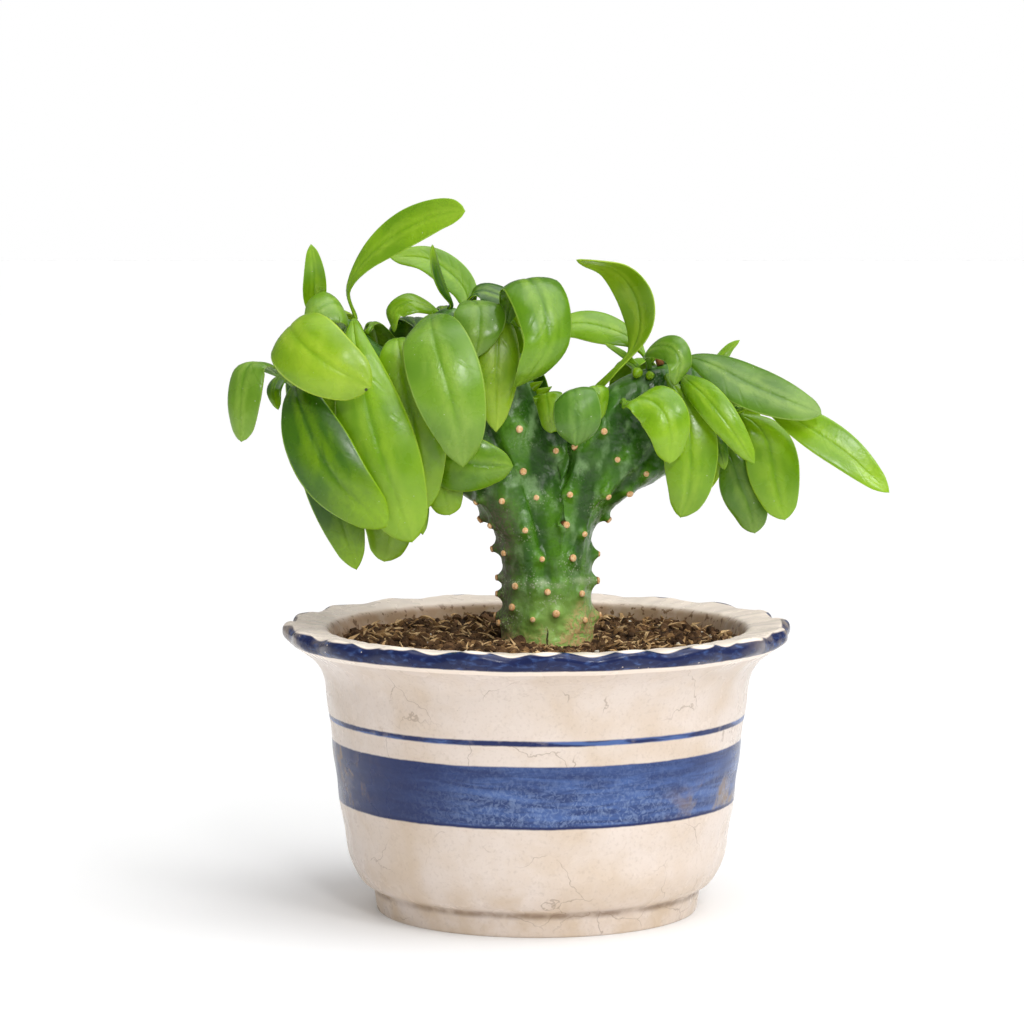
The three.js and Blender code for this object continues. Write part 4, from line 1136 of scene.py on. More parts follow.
@dataclass
class CrestedStem:
    """The stem and its fan: folded skin with tubercles, each under the cork peg of a fallen leaf."""

    form: CrestForm
    loop: int = 400
    stem_rows: int = 8
    fan_rows: int = 190
    edge_rows: int = 26
    tubercle_height: float = 2.2
    tubercle_top: float = 1.2
    tubercle_spread: float = 2.0
    margin_height: float = 1.0
    peg_clear: float = 6.0
    peg_radius: float = 1.46
    peg_length: float = 3.6
    peg_proud: float = 0.85
    peg_sides: int = 10
    peg_scale: Span = (0.82, 1.14)
    peg_seed: int = 21
    fan_begins: float = 0.2
    fan_widens: Span = (0.35, 0.75)
    clear_of_soil: Span = (SOIL_TOP + 2, SOIL_TOP + 8)
    calm_edge: Span = (0.985, 1.0)
    pleat_spread: float = 64.0
    pleat: Crumble = Crumble(1.0, 22, 1, 4.0)
    pleat_valley: float = 0.26
    pleat_steepness: float = 2.0
    pleat_level: float = 0.7
    pleat_height: float = 1.7
    pleat_shade: Span = (-0.85, -0.52)
    lumps: Crumble = Crumble(0.6, 9, 3, 5.0)
    grain: Crumble = Crumble(0.14, 2.2, 2, 6.0)
    cork: Crumble = Crumble(0.9, 3.2, 3, 7.0)
    cork_ends: Span = (115, 122)
    rib_height: float = 0.5
    rib_wave: float = 1.6
    ribs_right_of: Span = (38, 60)
    ribs_above: Span = (195, 215)
    lattice_step: Span = (19.0, 15.0)
    lattice_rows: int = 8
    lattice_columns: int = 5
    lattice_low: float = 122.0
    lattice_miss: float = 1.5
    knob_sides: int = 24
    fruit_rows: int = 14
    fruit_lobes: float = 0.06
    fruits: tuple[tuple[float, float, float, float], ...] = ((40, -11, 226, 2.3), (46, -12, 224.5, 1.8))
    buds: tuple[tuple[float, float, float, float], ...] = (
        (4, -9, 222, 2.2), (7, -6, 219, 2.6), (-1, -5, 227, 2.0), (86, -2, 208, 2.6), (-98, -3, 216, 2.6))
    samples: tuple[np.ndarray, np.ndarray, np.ndarray] = field(init=False)

    def __post_init__(self) -> None:
        """Takes even samples of the skin, on which pegs, fruit and buds find their place."""
        up, turn = np.meshgrid(np.arange(8, 101) / 100, np.arange(160) / 160, indexing="ij")
        turn, up = turn.ravel(), up.ravel()
        self.samples = (turn, up, self.form.skin(turn, up))

    def nearest(self, away: np.ndarray) -> tuple[np.ndarray, np.ndarray]:
        """Returns the sample with the least distance, as its point and the way that the skin looks there."""
        turn, up, points = self.samples
        best = int(np.argmin(away))
        return points[best], self.form.normal(turn[best:best + 1], up[best:best + 1])[0]

    def seen_at(self, x: float, z: float, front: bool) -> tuple[np.ndarray, np.ndarray, float]:
        """Returns the skin seen at x, z from the front or the back, and how far off it lies."""
        turn, _, points = self.samples
        away = np.hypot(points[:, 0] - x, points[:, 2] - z) + np.where((turn < 0.5) == front, 0, 50)
        return (*self.nearest(away), float(away.min()))

    def pegs(self) -> tuple[np.ndarray, np.ndarray]:
        """Returns foot and direction of every peg: at given places in front, on a lattice behind."""
        places = [self.seen_at(x, z, True)[:2] for x, z in FRONT_STUBS]
        for row in range(self.lattice_rows):
            for column in range(-self.lattice_columns, self.lattice_columns + 1):
                x = STEM_X + (column + row % 2 / 2) * self.lattice_step[0]
                point, look, away = self.seen_at(x, self.lattice_low + row * self.lattice_step[1], False)
                free = min(float(np.linalg.norm(point - other)) for other, _ in places) > self.peg_clear
                if away < self.lattice_miss and free:
                    places.append((point, look))
        return np.array([p for p, _ in places]), np.array([n for _, n in places])

    def heights(self, looks: np.ndarray) -> np.ndarray:
        """Returns how high each tubercle rises: those at the margins, which look sideways, rise further."""
        return self.tubercle_height + self.margin_height * smooth(1 - np.abs(looks[:, 1]), 0.3, 0.8)

    def skin(self, feet: np.ndarray, feet_looks: np.ndarray, dresser: Dresser) -> bpy.types.Object:
        """Builds the folded skin.

        Args:
            feet: Places of the pegs, where tubercles rise.
            feet_looks: Ways that the skin looks there.
            dresser: Holder of the materials.

        Returns:
            The skin as one closed piece.
        """
        edge = self.form.edge_round_from
        below = np.linspace(0, self.fan_begins, self.stem_rows, endpoint=False)
        fan = np.linspace(self.fan_begins, edge, self.fan_rows, endpoint=False)
        bow = np.sin(np.linspace(0, math.pi / 2, self.edge_rows))
        ups = np.concatenate([below, fan, edge + (1 - edge) * bow])
        up, turn = np.meshgrid(ups, np.arange(self.loop) / self.loop, indexing="ij")
        turn, up = turn.ravel(), up.ravel()
        points = self.form.skin(turn, up)
        looks = self.form.normal(turn, up)
        above = smooth(points[:, 2], *self.clear_of_soil)
        swell, height = np.zeros(len(points)), np.zeros(len(points))
        for foot, tall in zip(feet, self.heights(feet_looks)):
            away = np.linalg.norm(points - foot, axis=1)
            share = np.exp(-np.maximum(away - self.tubercle_top, 0) / self.tubercle_spread)
            swell += share
            height = np.maximum(height, tall * share)
        swell = np.minimum(swell, 1.0)
        fan_share = smooth(up, *self.fan_widens)
        round_turn = turn * 2 * math.pi
        streaks = np.stack([np.cos(round_turn), np.sin(round_turn), up], axis=1) * self.pleat_spread
        pleats = np.minimum(np.hypot(self.pleat.at(streaks), self.pleat_valley) * self.pleat_steepness, 1.0)
        folds = (pleats - self.pleat_level) * self.pleat_height * fan_share
        corky = (1 - smooth(points[:, 2], *self.cork_ends)) * self.cork.at(points)
        uneven = folds + self.lumps.at(points) + self.grain.at(points) + corky
        ribs = smooth(points[:, 0], *self.ribs_right_of) * smooth(points[:, 2], *self.ribs_above)
        ribs *= np.sin(points[:, 0] * self.rib_wave) * self.rib_height
        rise = np.maximum(height, self.tubercle_height * swell) + uneven * (1 - 0.6 * swell) + ribs
        # Painted shade: how dark the skin is painted in the valleys of the folds and pleats, less on the
        # tubercles.
        valley = smooth(-self.form.ridge(self.form.section(turn, up)[0], up), 0.2, 1.0)
        furrow = np.clip(smooth(-pleats, *self.pleat_shade) * 0.7 * fan_share + 0.65 * valley, 0, 1)
        furrow *= 1 - 0.8 * swell
        points = points + looks * (rise * above * (1 - smooth(up, *self.calm_edge)))[:, None]
        cap = np.array([[STEM_X, 0, STEM_BOTTOM]])
        faces = ring_faces(len(ups), self.loop).tolist()
        foot = len(points)
        faces += [[foot, (i + 1) % self.loop, i] for i in range(self.loop)]
        piece = mesh_object("crested_stem", np.vstack([points, cap]), faces)
        for name, values in (("swell", swell), ("furrow", furrow)):
            kept = piece.data.attributes.new(name, "FLOAT", "POINT")
            kept.data.foreach_set("value", np.append(values, 0.0))
        piece.data.materials.append(dresser.material(StemFinish()))
        return closed(piece)

    def peg_bit(self) -> bpy.types.Object:
        """Returns one cork peg standing on the XY plane, rounded at its tip."""
        points = turned(np.array(PEG_OUTLINE) * (self.peg_radius, self.peg_length), self.peg_sides)
        bit = mesh_object("peg_bit", points, ring_faces(len(PEG_OUTLINE), self.peg_sides))
        heights = points[:, 2] / self.peg_length
        bit.data.attributes.new("height", "FLOAT", "POINT").data.foreach_set("value", heights)
        return closed(bit)

    def stand_pegs(self, feet: np.ndarray, looks: np.ndarray, dresser: Dresser) -> bpy.types.Object:
        """Stands a peg on each tubercle.

        Args:
            feet: Places on the skin.
            looks: Ways that the skin looks there.
            dresser: Holder of the materials.

        Returns:
            All pegs as one piece.
        """
        sunk = feet + looks * (self.heights(looks) + self.peg_proud - self.peg_length)[:, None]
        source = mesh_object("peg_places", sunk, [])
        source.data.attributes.new("look", "FLOAT_VECTOR", "POINT").data.foreach_set("vector", looks.ravel())
        bit = self.peg_bit()
        tree = Tree("cork_pegs")
        shape = tree.size("Peg", bit, "NodeSocketObject")
        thin = tree.size("Thinnest", self.peg_scale[0])
        stout = tree.size("Stoutest", self.peg_scale[1])
        seed = tree.size("Seed", self.peg_seed, "NodeSocketInt")
        look = tree.geometry("GeometryNodeInputNamedAttribute", {"Name": "look"}, data_type="FLOAT_VECTOR")
        turn = tree.geometry("FunctionNodeAlignRotationToVector", {"Vector": look}, axis="Z")
        width = tree.chance(thin, stout, seed)
        pegs = tree.copies(shape, tree.start.outputs[0], turn, tree.join(width, width, 1.0))
        piece = tree.finish_on(source, pegs, dresser.material(ScarFinish()), "leaf_scars")
        bpy.data.objects.remove(bit)
        return piece

    def fruit(self, radius: float) -> np.ndarray:
        """Returns the points of a round fruit with three faint lobes, standing on the XY plane."""
        turns = np.linspace(0, math.pi, self.fruit_rows)
        rows = np.stack([np.sin(turns) * radius, -np.cos(turns) * radius + radius * 0.8], axis=1)
        rows[[0, -1], 0] = 0.0
        rows[-1, 1] -= radius * 0.12
        points = turned(rows, self.knob_sides)
        lobes = 1 + self.fruit_lobes * np.cos(3 * np.arctan2(points[:, 1], points[:, 0]))
        points[:, :2] *= lobes[:, None]
        return points

    def bud(self, radius: float) -> np.ndarray:
        """Returns the points of a thorn-like bud with its foot below the XY plane."""
        shape = [(0, -2.0), (radius, -1.8), (radius * 0.9, 0.4), (radius * 0.55, radius * 1.1),
                 (radius * 0.22, radius * 1.9), (0, radius * 2.4)]
        return turned(divided(rounded([(r, h, 1.0) for r, h in shape]), 0.5), self.knob_sides)

    def knobs(self, dresser: Dresser) -> list[bpy.types.Object]:
        """Returns the round fruit and the thorn-like buds at the growing edge."""
        made = []
        for kind, form, places in (("fruit", self.fruit, self.fruits), ("bud", self.bud, self.buds)):
            for number, (*at, radius) in enumerate(places, 1):
                point, look = self.nearest(np.linalg.norm(self.samples[2] - at, axis=1))
                turn = Vector((0, 0, 1)).rotation_difference(Vector(look)).to_matrix()
                points = form(radius)
                faces = ring_faces(len(points) // self.knob_sides, self.knob_sides)
                piece = closed(mesh_object(f"{kind}_{number}", points @ np.array(turn).T + point, faces))
                piece.data.materials.append(dresser.material(Tone.DARK.value))
                made.append(piece)
        return made

    def build(self, dresser: Dresser) -> list[bpy.types.Object]:
        """Returns the dressed skin, its pegs, fruit and buds."""
        feet, looks = self.pegs()
        skin = self.skin(feet, looks, dresser)
        pieces = [skin, self.stand_pegs(feet, looks, dresser), *self.knobs(dresser)]
        for piece in pieces:
            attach(piece, "root")
        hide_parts("crest_stem")
        return pieces


@dataclass(frozen=True)
class LeafPlan:
    """One leaf's blade: its width, the way its upper side looks, how its edges lift, its midrib's path."""

    name: str
    width: float
    face: Triple
    cup: float
    skew: float
    tone: Tone
    path: tuple[Triple, ...]
    stalk: float = 0.06
    stem: float = 1.1
    shoulder: float = 1.1
    tip: float = 0.5


LEAF_PLANS: tuple[LeafPlan, ...] = (
    LeafPlan("leaf_left_tall", 17.5, (-0.2, -0.85, 0.5), 0.06, 1.5, Tone.MID,
             ((-76, 3, 246), (-78, 1, 258), (-70, -4, 271), (-56, -10, 282),
              (-41, -17, 289), (-29.5, -24, 291)), tip=0.36),
    LeafPlan("leaf_left_back_arch", 14, (0.1, -0.9, 0.5), 0.1, 1, Tone.MID,
             ((-28, 5, 249), (-30, 9, 257), (-37, 12, 265), (-47, 14, 270.5), (-61, 14, 271)), shoulder=0.8),
    LeafPlan("leaf_left_sliver", 9, (-0.95, 0.1, 0.3), 0.3, 1, Tone.DARK,
             ((-36, -5, 251), (-38, -8, 259), (-41, -12, 268), (-43, -15, 277))),
    LeafPlan("leaf_left_upright", 10, (0.2, -1, 0.1), 0.35, 1, Tone.MID,
             ((-93, 2, 243), (-92, -1, 253), (-92, -6, 266), (-93, -7, 277))),
    LeafPlan("leaf_left_rolled", 19, (-0.35, -0.8, 0.5), -0.25, 1, Tone.GREY,
             ((-79, -5, 242), (-79.5, -10, 249), (-83, -14, 253),
              (-89, -17, 251), (-94, -19, 245)), shoulder=0.7),
    LeafPlan("leaf_left_broad", 30, (-0.1, -1, 0.2), -0.2, 0.95, Tone.LIGHT,
             ((-90, -7, 238), (-97, -24, 244), (-100, -36, 244), (-95, -45, 238.5),
              (-84, -50, 230), (-67, -50, 221)), stalk=0.3, shoulder=0.7, tip=0.36),
    LeafPlan("leaf_far_left_hanging", 17, (-0.5, -0.85, 0.1), -0.25, 1.3, Tone.GREY,
             ((-102, -6, 221), (-110, -12, 227), (-118, -18, 227.5),
              (-121, -22, 214), (-121, -23, 197)), tip=0.36),
    LeafPlan("leaf_far_left_curl", 8, (-0.4, -0.8, 0.3), -0.2, 1, Tone.DARK,
             ((-98, 8, 222), (-106, 4, 222), (-109, -3, 217), (-107, -6, 209))),
    LeafPlan("leaf_left_long", 31, (0, -1, 0.05), -0.1, 1.5, Tone.MID,
             ((-74, -8, 243), (-75, -20, 246), (-73.4, -32, 235), (-67.6, -37, 207),
              (-60, -39, 183), (-51, -36, 157)), tip=0.38),
    LeafPlan("leaf_left_under_long", 24, (-0.1, -1, 0), -0.08, 1, Tone.MID,
             ((-90, -8, 234), (-85, -14, 230), (-82.6, -22.8, 211), (-81, -28, 192), (-77, -29, 176))),
    LeafPlan("leaf_left_low_front", 27, (-0.15, -1, 0.05), -0.12, 1.45, Tone.DARK,
             ((-100, -4, 212), (-99, -24, 219.5), (-96.4, -36, 213.6), (-90.4, -42, 199),
              (-80, -45, 182), (-61, -44, 164)), shoulder=1.3, tip=0.42),
    LeafPlan("leaf_left_low_hanging", 22, (-0.1, -1, 0), -0.1, 1.05, Tone.DARK,
             ((-97, -8, 210), (-92, -20, 200), (-85, -26, 181), (-79, -28, 162), (-74, -28, 145))),
    LeafPlan("leaf_left_low_tip", 22, (0, -1, 0), -0.1, 1.2, Tone.MID,
             ((-72, -12, 190), (-66, -16, 183), (-61, -17, 163), (-63, -17, 147)), tip=0.36),
    LeafPlan("leaf_middle_left_behind", 28, (0, -1, 0), -0.08, 1, Tone.MID,
             ((-55, -6, 236), (-57, -18, 238), (-55, -26, 227), (-50, -30, 202), (-46, -29, 169))),
    LeafPlan("leaf_middle_left_front", 30, (0, -1, 0.05), -0.12, 1.1, Tone.GREY,
             ((-43, -6, 246), (-43.4, -23, 247), (-42, -38, 240), (-36.2, -45, 221),
              (-31.6, -45, 203), (-30.2, -41, 188)), shoulder=0.75, tip=0.58),
    LeafPlan("leaf_heart", 21.5, (0.05, -1, 0.1), -0.08, 1.3, Tone.COOL,
             ((-28, -5, 250), (-27, -12, 253.6), (-23.8, -21, 251.5),
              (-23.8, -26.5, 242), (-25.6, -27, 231)), shoulder=2, tip=0.75),
    LeafPlan("leaf_middle_narrow", 19, (0.1, -1, 0), -0.12, 1, Tone.LIGHT,
             ((-15, -8, 240), (-16, -16, 245), (-16.4, -22, 236),
              (-17, -24.5, 218), (-17, -23, 201)), shoulder=0.8, tip=0.62),
    LeafPlan("leaf_right_pointing", 25, (0, -1, 0), -0.1, 0.9, Tone.DEEP,
             ((-48, -14, 195), (-41, -22, 191), (-26, -26, 188), (-10, -24, 187))),
    LeafPlan("leaf_small_round", 16, (0, -1, 0), -0.1, 1.2, Tone.MID,
             ((-41, -14, 190), (-40, -19, 184), (-38, -20, 175), (-36, -19, 166.5)), tip=0.3),
    LeafPlan("leaf_dark_sliver", 10, (0.5, -1, 0), -0.1, 1, Tone.DARK,
             ((-54, -14, 186), (-51, -22, 177), (-48, -24, 169), (-47, -24, 159))),
    LeafPlan("leaf_left_strap", 11, (0, -0.8, 0.6), -0.1, 1, Tone.MID,
             ((-40, 2, 247), (-45, 0, 251), (-52, -3, 253), (-59, -4, 249), (-59, -5, 241))),
    LeafPlan("leaf_middle_arch", 12, (0.2, -0.8, 0.6), -0.1, 1, Tone.DARK,
             ((-30, 4, 252), (-25, 3, 257), (-16, 2, 255.5), (-8, 0, 249), (-5, -2, 241))),
    LeafPlan("leaf_middle_drooping", 24, (0.3, -1, 0.1), -0.2, 1, Tone.DEEP,
             ((-13, -4, 240), (-9.4, -11, 257.5), (-3.6, -24, 263), (2, -33, 254),
              (4, -37, 239), (-2, -36, 227), (-9, -32, 220))),
    LeafPlan("leaf_right_back_strap", 15.5, (0, -0.8, 0.6), -0.1, 1.2, Tone.MID,
             ((43, 2, 230), (40, 4, 236.6), (31, 6, 241), (18, 8, 243.6), (4, 8, 241))),
    # The paler tone here is partly painted light: this leaf faces down, away from the light.
    LeafPlan("leaf_right_tall", 18, (-0.5, -0.75, -0.2), 0.12, 1.05, Tone.LIGHT,
             ((26, -6, 215), (31, -9, 224), (39, -9, 233), (42.4, -8, 244),
              (40, -9, 257), (31.4, -13, 267), (16, -18, 271)), stalk=0.26, stem=1.8, shoulder=0.8),
    LeafPlan("leaf_right_thin", 3, (0, -1, 0), 0, 1, Tone.MID,
             ((41, -4, 227), (35, -3, 232), (28, -2, 236))),
    LeafPlan("leaf_right_recurved", 12, (0.1, -1, 0.1), -0.2, 1.2, Tone.GREY,
             ((46, -4, 227), (45, -10, 232), (49, -16, 235.4), (55, -22, 235),
              (58, -24, 229), (55.6, -24, 220)), tip=0.42),
    LeafPlan("leaf_right_light", 20, (0.1, -1, 0.1), -0.18, 1.15, Tone.MID,
             ((35, -10, 211), (37, -24, 212.5), (42, -30, 215), (49.5, -34, 211.6),
              (53.6, -36, 202), (53.6, -34, 189)), tip=0.42),
    LeafPlan("leaf_right_hanging_front", 22.5, (0, -1, 0), -0.1, 1.2, Tone.MID,
             ((53, -6, 221), (54, -13, 221.6), (59, -20, 214), (62.4, -25, 198),
              (62, -26, 179), (58.6, -24, 166)), tip=0.42),
    LeafPlan("leaf_right_slanted", 13, (-0.1, -1, 0.15), -0.12, 1.1, Tone.MID,
             ((59, -6, 224), (61.6, -19, 221.4), (68, -28.6, 216), (77, -33, 205), (88, -34, 189))),
    LeafPlan("leaf_right_big", 22.5, (0.15, -0.8, 0.6), -0.08, 1.1, Tone.COOL,
             ((58, -4, 226), (63, -10, 230), (74, -16, 226.6), (85.6, -23, 220.6),
              (100, -30, 214.6), (115, -35, 209)), tip=0.42),
    LeafPlan("leaf_far_right", 16, (0.1, -1, 0.3), 0.1, 1.2, Tone.MID,
             ((83, -9, 213), (94, -18, 212), (107, -24, 205), (125, -29, 193), (143, -32, 177))),
    LeafPlan("leaf_right_hanging_outer", 22, (0.1, -1, 0), -0.1, 1.15, Tone.MID,
             ((82, -8, 206), (89, -11, 204), (95, -13, 196), (98, -14, 181), (102, -14, 164)), tip=0.42),
    LeafPlan("leaf_right_hanging_dark", 18, (0, -1, 0), -0.08, 1.15, Tone.COOL,
             ((76, -4, 196), (80, -8, 189), (84, -9, 178), (88, -9, 168), (90, -9, 158)), tip=0.42),
    LeafPlan("leaf_right_short_dark", 8, (0.1, -1, 0), -0.1, 1, Tone.DARK,
             ((71, -10, 202), (73, -14, 198), (75, -15, 192), (77, -15, 185))),
    LeafPlan("leaf_right_spur", 6, (0, -0.9, 0.4), 0.2, 1, Tone.DARK,
             ((84, 4, 209), (93, 2, 209), (101, 0, 207), (108, -3, 200))),
    LeafPlan("leaf_right_sprout", 5, (0, -1, 0), 0.3, 0.8, Tone.MID,
             ((71, 3, 223), (76, 4, 229), (80, 5, 234), (84, 5, 237))),
    LeafPlan("leaf_cup_front", 19.5, (0, -1, 0.1), -0.25, 2.6, Tone.HOOD,
             ((15, -8, 198), (14.8, -21, 211), (14.8, -33, 218.6), (15.4, -39, 216),
              (16.2, -41, 206), (15.4, -38, 196.4)), shoulder=0.5, tip=0.45),
    LeafPlan("leaf_cup_left", 12, (-0.3, -1, 0), -0.3, 1.2, Tone.MID,
             ((6, -6, 201), (5, -11, 210), (4, -13.5, 216), (4.6, -16, 211), (5.6, -16, 200)), tip=0.3),
    LeafPlan("leaf_cup_right", 11, (0.3, -1, 0), -0.3, 1.1, Tone.MID,
             ((22, -8, 209), (23.4, -13, 213), (23.8, -16, 219),
              (24.8, -18, 215), (25, -17, 205.4)), tip=0.3),
)

# Leaves behind the crest: root x, root z, sideways lean, reach back, drop, width
BACK_LEAVES: tuple[tuple[float, ...], ...] = (
    (-94, 225, -3, 26, 30, 20), (-82, 246, -6, 40, 52, 26), (-70, 241, 9, 31, 60, 20),
    (-51, 243, -3, 46, 58, 24), (-40, 248, 7, 29, 64, 20), (-20, 243, 6, 43, 50, 24),
    (-8, 228, 6, 24, 48, 20), (26, 214, -2, 28, 34, 18), (40, 226, 4, 36, 46, 23),
    (54, 228, 6, 24, 56, 20), (68, 225, 4, 38, 54, 24), (77, 216, 14, 30, 46, 19),
)


def back_plan(number: int, x: float, z: float, lean: float, back: float, drop: float,
              width: float) -> LeafPlan:
    """Returns the plan of a leaf that arches backwards and hangs."""
    path = ((x, 6, z), (x + lean * 0.2, back * 0.55, z + 2), (x + lean * 0.5, back * 0.95, z - drop * 0.2),
            (x + lean * 0.8, back, z - drop * 0.6), (x + lean, back * 0.9, z - drop))
    tone = (Tone.MID, Tone.DARK, Tone.LIGHT)[number % 3]
    return LeafPlan(f"leaf_back_{number}", width, (0, 1, 0.05), -0.12, 1.0, tone, path)


@dataclass
class Foliage:
    """All leaves: fleshy blades with a grooved midrib, each rooted on the crest."""

    rows: int = 46
    columns: tuple[float, ...] = (0, 0.035, 0.08, 0.15, 0.27, 0.41, 0.56, 0.7, 0.82, 0.91, 0.97, 1)
    mid_thickness: float = 1.35
    tip_half_width: float = 0.35
    tip_from: float = 0.93
    root_gap: float = 0.3
    root_step: float = 3.0
    widest_place: float = 0.6
    curve_samples: int = 600
    closer_at_ends: float = 0.35
    stout_root: float = 0.5
    thin_tip: float = 0.35
    edge_power: int = 5
    full_width: float = 26.0
    groove_depth: float = 0.28
    groove_width: float = 0.075
    puff: float = 0.4
    puff_lift: float = 0.45
    wave_turns: float = 9.0
    wave_across: float = 1.4
    wave_height: float = 0.018
    root_depth: float = 0.25
    tip_length: float = 0.3

    def half_width(self, plan: LeafPlan, along: np.ndarray) -> np.ndarray:
        """Returns half the blade's width along the leaf."""
        blade = np.clip((along - plan.stalk) / (1 - plan.stalk), 0, 1)
        least = np.minimum(plan.stem + (self.tip_half_width - plan.stem) * blade, plan.width / 2)
        swell = np.maximum(np.sin(math.pi * blade ** plan.skew), 0)
        power = plan.shoulder + (plan.tip - plan.shoulder) * blade
        return np.maximum(least, plan.width / 2 * swell ** power)

    def outline(self, plan: LeafPlan, along: np.ndarray) -> np.ndarray:
        """Returns the half widths with the blade's end drawn to a point."""
        edge = self.half_width(plan, np.minimum(along, self.tip_from))
        left = np.clip((1 - along) / (1 - self.tip_from), 0, 1)
        drawn = np.maximum(edge * left ** (plan.tip + 0.2), self.tip_half_width * 0.6)
        return np.where(along > self.tip_from, drawn, edge)

    def blade(self, plan: LeafPlan, crest: BVHTree) -> bpy.types.Object:
        """Builds one leaf.

        Args:
            plan: The leaf's plan.
            crest: Faces of the crest, on which the leaf is rooted.

        Returns:
            The leaf as a closed piece with its place across and along the blade as UV.
        """
        seat, look, _, _ = crest.find_nearest(Vector(plan.path[0]) * MM)
        seat, look = np.array(seat) / MM, np.array(look)
        root = [seat + look * self.root_gap, seat + look * (self.root_gap + self.root_step)]
        curve = catmull(np.array([*root, *plan.path[1:]]), np.linspace(0, 1, self.curve_samples))
        length = np.concatenate([[0], np.cumsum(np.linalg.norm(np.diff(curve, axis=0), axis=1))])
        even = np.linspace(0, 1, self.rows)
        eased = 0.5 - 0.5 * np.cos(even * math.pi)
        along = self.closer_at_ends * eased + (1 - self.closer_at_ends) * even
        place = along * length[-1]
        centre = np.stack([np.interp(place, length, curve[:, k]) for k in range(3)], axis=1)
        slope = unit(np.gradient(curve, axis=0))
        tangent = unit(np.stack([np.interp(place, length, slope[:, k]) for k in range(3)], axis=1))
        steady = tangent[int(np.argmin(np.abs(along - self.widest_place)))]
        sideways = unit(np.cross(np.array(plan.face), steady))
        across = unit(sideways - tangent * (tangent @ sideways)[:, None])
        facing = np.cross(tangent, across)
        half = self.outline(plan, along)[:, None]

        right = np.array(self.columns)
        upper = np.concatenate([-right[:0:-1], right])
        lower = upper[-2:0:-1]
        u = np.concatenate([upper, lower])[None, :]
        side = np.concatenate([np.ones(len(upper)), -np.ones(len(lower))])[None, :]
        stout = 1 + self.stout_root * (1 - smooth(along, 0.0, 0.12)) - self.thin_tip * smooth(along, 0.8, 1)
        thick = np.minimum(self.mid_thickness / 2 * stout[:, None], half * 0.9)
        edge = np.sqrt(np.maximum(0, 1 - np.abs(u) ** self.edge_power))
        blade_share = plateau(along, (0.05, 0.25), (0.8, 0.98))[:, None]
        wide = min(plan.width / self.full_width, 1.0)
        rib = np.exp(-(u / self.groove_width) ** 2)
        groove = self.groove_depth * wide * plan.tone.value.rib * rib * blade_share
        puff = self.puff * wide * np.sin(math.pi * np.abs(u)) ** 2 * blade_share
        phase = (sum(map(ord, plan.name)) % 97) / 97 * 2 * math.pi
        swing = np.sin(along[:, None] * self.wave_turns + phase + np.sign(u) * self.wave_across)
        wave = swing * np.abs(u) ** 2 * self.wave_height * plan.width * blade_share
        lift = plan.cup * half * u * u + wave + self.puff_lift * puff
        level = side * thick * edge - groove + lift
        points = (centre[:, None] + across[:, None] * (half * u)[..., None]
                  + facing[:, None] * level[..., None])
        loop = u.shape[1]
        points = points.reshape(-1, 3)
        faces = ring_faces(self.rows, loop)[:, ::-1].tolist()
        root, tip = len(points), len(points) + 1
        last = (self.rows - 1) * loop
        faces += [[root, i, (i + 1) % loop] for i in range(loop)]
        faces += [[tip, last + (i + 1) % loop, last + i] for i in range(loop)]
        points = np.vstack([points, centre[0] - tangent[0] * self.root_depth,
                            centre[-1] + tangent[-1] * self.tip_length])
        piece = mesh_object(plan.name, points, faces)
        uv = np.zeros((len(points), 2))
        uv[:root, 0] = np.repeat((u + 1) / 2, self.rows, axis=0).ravel()
        uv[:root, 1] = np.repeat(along, loop)
        uv[root], uv[tip] = (0.5, 0.0), (0.5, 1.0)
        corners = np.zeros(len(piece.data.loops), dtype=int)
        piece.data.loops.foreach_get("vertex_index", corners)
        piece.data.uv_layers.new(name="blade").data.foreach_set("uv", uv[corners].ravel())
        return closed(piece)

    def build(self, dresser: Dresser) -> list[bpy.types.Object]:
        """Returns every leaf, dressed in its tone."""
        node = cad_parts["crest_stem"]
        corners = [v.co.copy() for v in node.data.vertices]
        crest = BVHTree.FromPolygons(corners, [tuple(p.vertices) for p in node.data.polygons])
        plans = [*LEAF_PLANS, *(back_plan(i, *row) for i, row in enumerate(BACK_LEAVES, 1))]
        pieces = []
        for plan in plans:
            piece = self.blade(plan, crest)
            piece.name = f"{plan.name}_blade"
            piece.data.materials.append(dresser.material(plan.tone.value))
            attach(piece, "root")
            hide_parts(plan.name)
            pieces.append(piece)
        return pieces


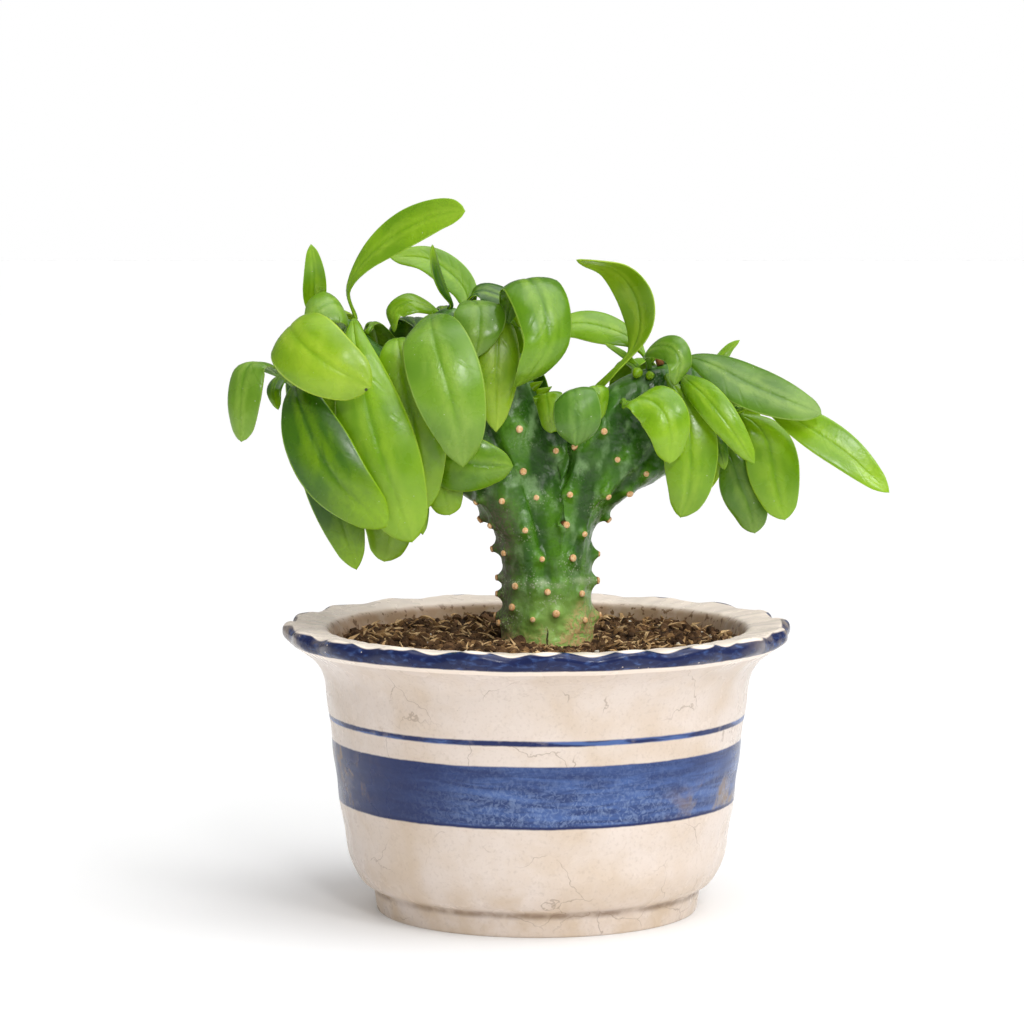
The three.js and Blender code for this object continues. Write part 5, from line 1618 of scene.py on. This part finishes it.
@dataclass
class Studio:
    """The camera where the photograph was taken from, soft lights and a plain pale floor."""

    camera_at: Triple = (-10.4, -1600.0, 318.4)
    look_down: float = math.degrees(math.atan(366 / 3840))
    focal_pixels: float = 3868.0
    sensor: float = 36.0
    ambient: float = 0.28
    backdrop: float = 1.0
    floor_glow: float = 0.13
    daylight_strength: float = 2.1
    daylight_spread: float = 70.0
    daylight_height: float = 60.0
    daylight_turn: float = 60.0
    skylight_strength: float = 0.8
    skylight_spread: float = 60.0
    windows: tuple[tuple[str, Triple, float, float], ...] = (
        ("window_light", (0.9, -1.3, 1.2), 0.32, 4.5), ("front_window", (0.25, -1.35, 0.85), 0.2, 4.5))
    windows_look_at: Triple = (0.0, 0.0, 0.15)
    floor_grey: Colour = (232, 232, 232)
    floor_half_width: float = 4000.0
    floor_front: float = -3000.0
    floor_back: float = 9000.0

    def camera(self) -> None:
        """Sets up the camera for a square image."""
        lens = bpy.data.cameras.new("camera")
        lens.sensor_width = self.sensor
        lens.lens = self.focal_pixels / IMAGE_SIDE * self.sensor
        lens.clip_start, lens.clip_end = 0.01, 50
        camera = bpy.data.objects.new("camera", lens)
        camera.location = Vector(self.camera_at) * MM
        camera.rotation_euler = (math.radians(90 - self.look_down), 0, 0)
        bpy.context.collection.objects.link(camera)
        bpy.context.scene.camera = camera

    def light(self, name: str, at: Triple, towards: Triple, side: float, power: float) -> None:
        """Adds one square soft light, given in metres and watts."""
        lamp = bpy.data.lights.new(name, "AREA")
        lamp.shape, lamp.size, lamp.energy = "SQUARE", side, power
        holder = bpy.data.objects.new(name, lamp)
        holder.location = at
        holder.rotation_euler = (Vector(towards) - Vector(at)).to_track_quat("-Z", "Y").to_euler()
        bpy.context.collection.objects.link(holder)

    def sun(self, name: str, strength: float, spread: float, height: float, turn: float) -> None:
        """Adds one broad light that reaches the whole floor alike; spread, height and turn are in degrees."""
        lamp = bpy.data.lights.new(name, "SUN")
        lamp.energy, lamp.angle = strength, math.radians(spread)
        holder = bpy.data.objects.new(name, lamp)
        holder.rotation_euler = (math.radians(90 - height), 0, math.radians(turn))
        bpy.context.collection.objects.link(holder)

    def surroundings(self) -> None:
        """Makes the surroundings plain white to look at, and dimmer as a light."""
        world = bpy.data.worlds.new("studio")
        world.use_nodes = True
        tree = world.node_tree
        seen = tree.nodes.new("ShaderNodeLightPath")
        strength = tree.nodes.new("ShaderNodeMapRange")
        tree.links.new(seen.outputs["Is Camera Ray"], strength.inputs["Value"])
        strength.inputs["To Min"].default_value = self.ambient
        strength.inputs["To Max"].default_value = self.backdrop
        tree.nodes["Background"].inputs["Color"].default_value = (1, 1, 1, 1)
        tree.links.new(strength.outputs[0], tree.nodes["Background"].inputs["Strength"])
        bpy.context.scene.world = world

    def build(self) -> None:
        """Sets up camera, lights, surroundings and floor."""
        self.camera()
        for name, at, side, power in self.windows:
            self.light(name, at, self.windows_look_at, side, power)
        self.sun("daylight", self.daylight_strength, self.daylight_spread, self.daylight_height,
                 self.daylight_turn)
        self.sun("skylight", self.skylight_strength, self.skylight_spread, 90, 0)
        self.surroundings()
        bpy.context.scene.view_settings.view_transform = "Standard"
        half, front, back = self.floor_half_width, self.floor_front, self.floor_back
        corners = [(-half, front, 0), (half, front, 0), (half, back, 0), (-half, back, 0)]
        floor = mesh_object("floor", np.array(corners), [[0, 1, 2, 3]])
        s = Shader("floor_paint")
        s.set(Base_Color=linear(self.floor_grey), Roughness=0.9, Specular_IOR_Level=0.1,
              Emission_Color=(1, 1, 1, 1), Emission_Strength=self.floor_glow)
        floor.data.materials.append(s.material)


def main() -> None:
    """Builds the part and its studio, and reports each piece."""
    logging.basicConfig(level=logging.INFO, format="%(name)s: %(message)s")
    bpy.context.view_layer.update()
    dresser = Dresser()
    Studio().build()
    pieces = [RuffledPot().build(dresser), *SoilBed().build(dresser),
              *CrestedStem(CrestForm()).build(dresser), *Foliage().build(dresser)]
    total = 0
    for piece in pieces:
        piece.data.calc_loop_triangles()
        count = len(piece.data.loop_triangles)
        total += count
        log.info("%s: %d triangles", piece.name, count)
    log.info("all pieces: %d triangles", total)


if __name__ == "__main__":
    main()
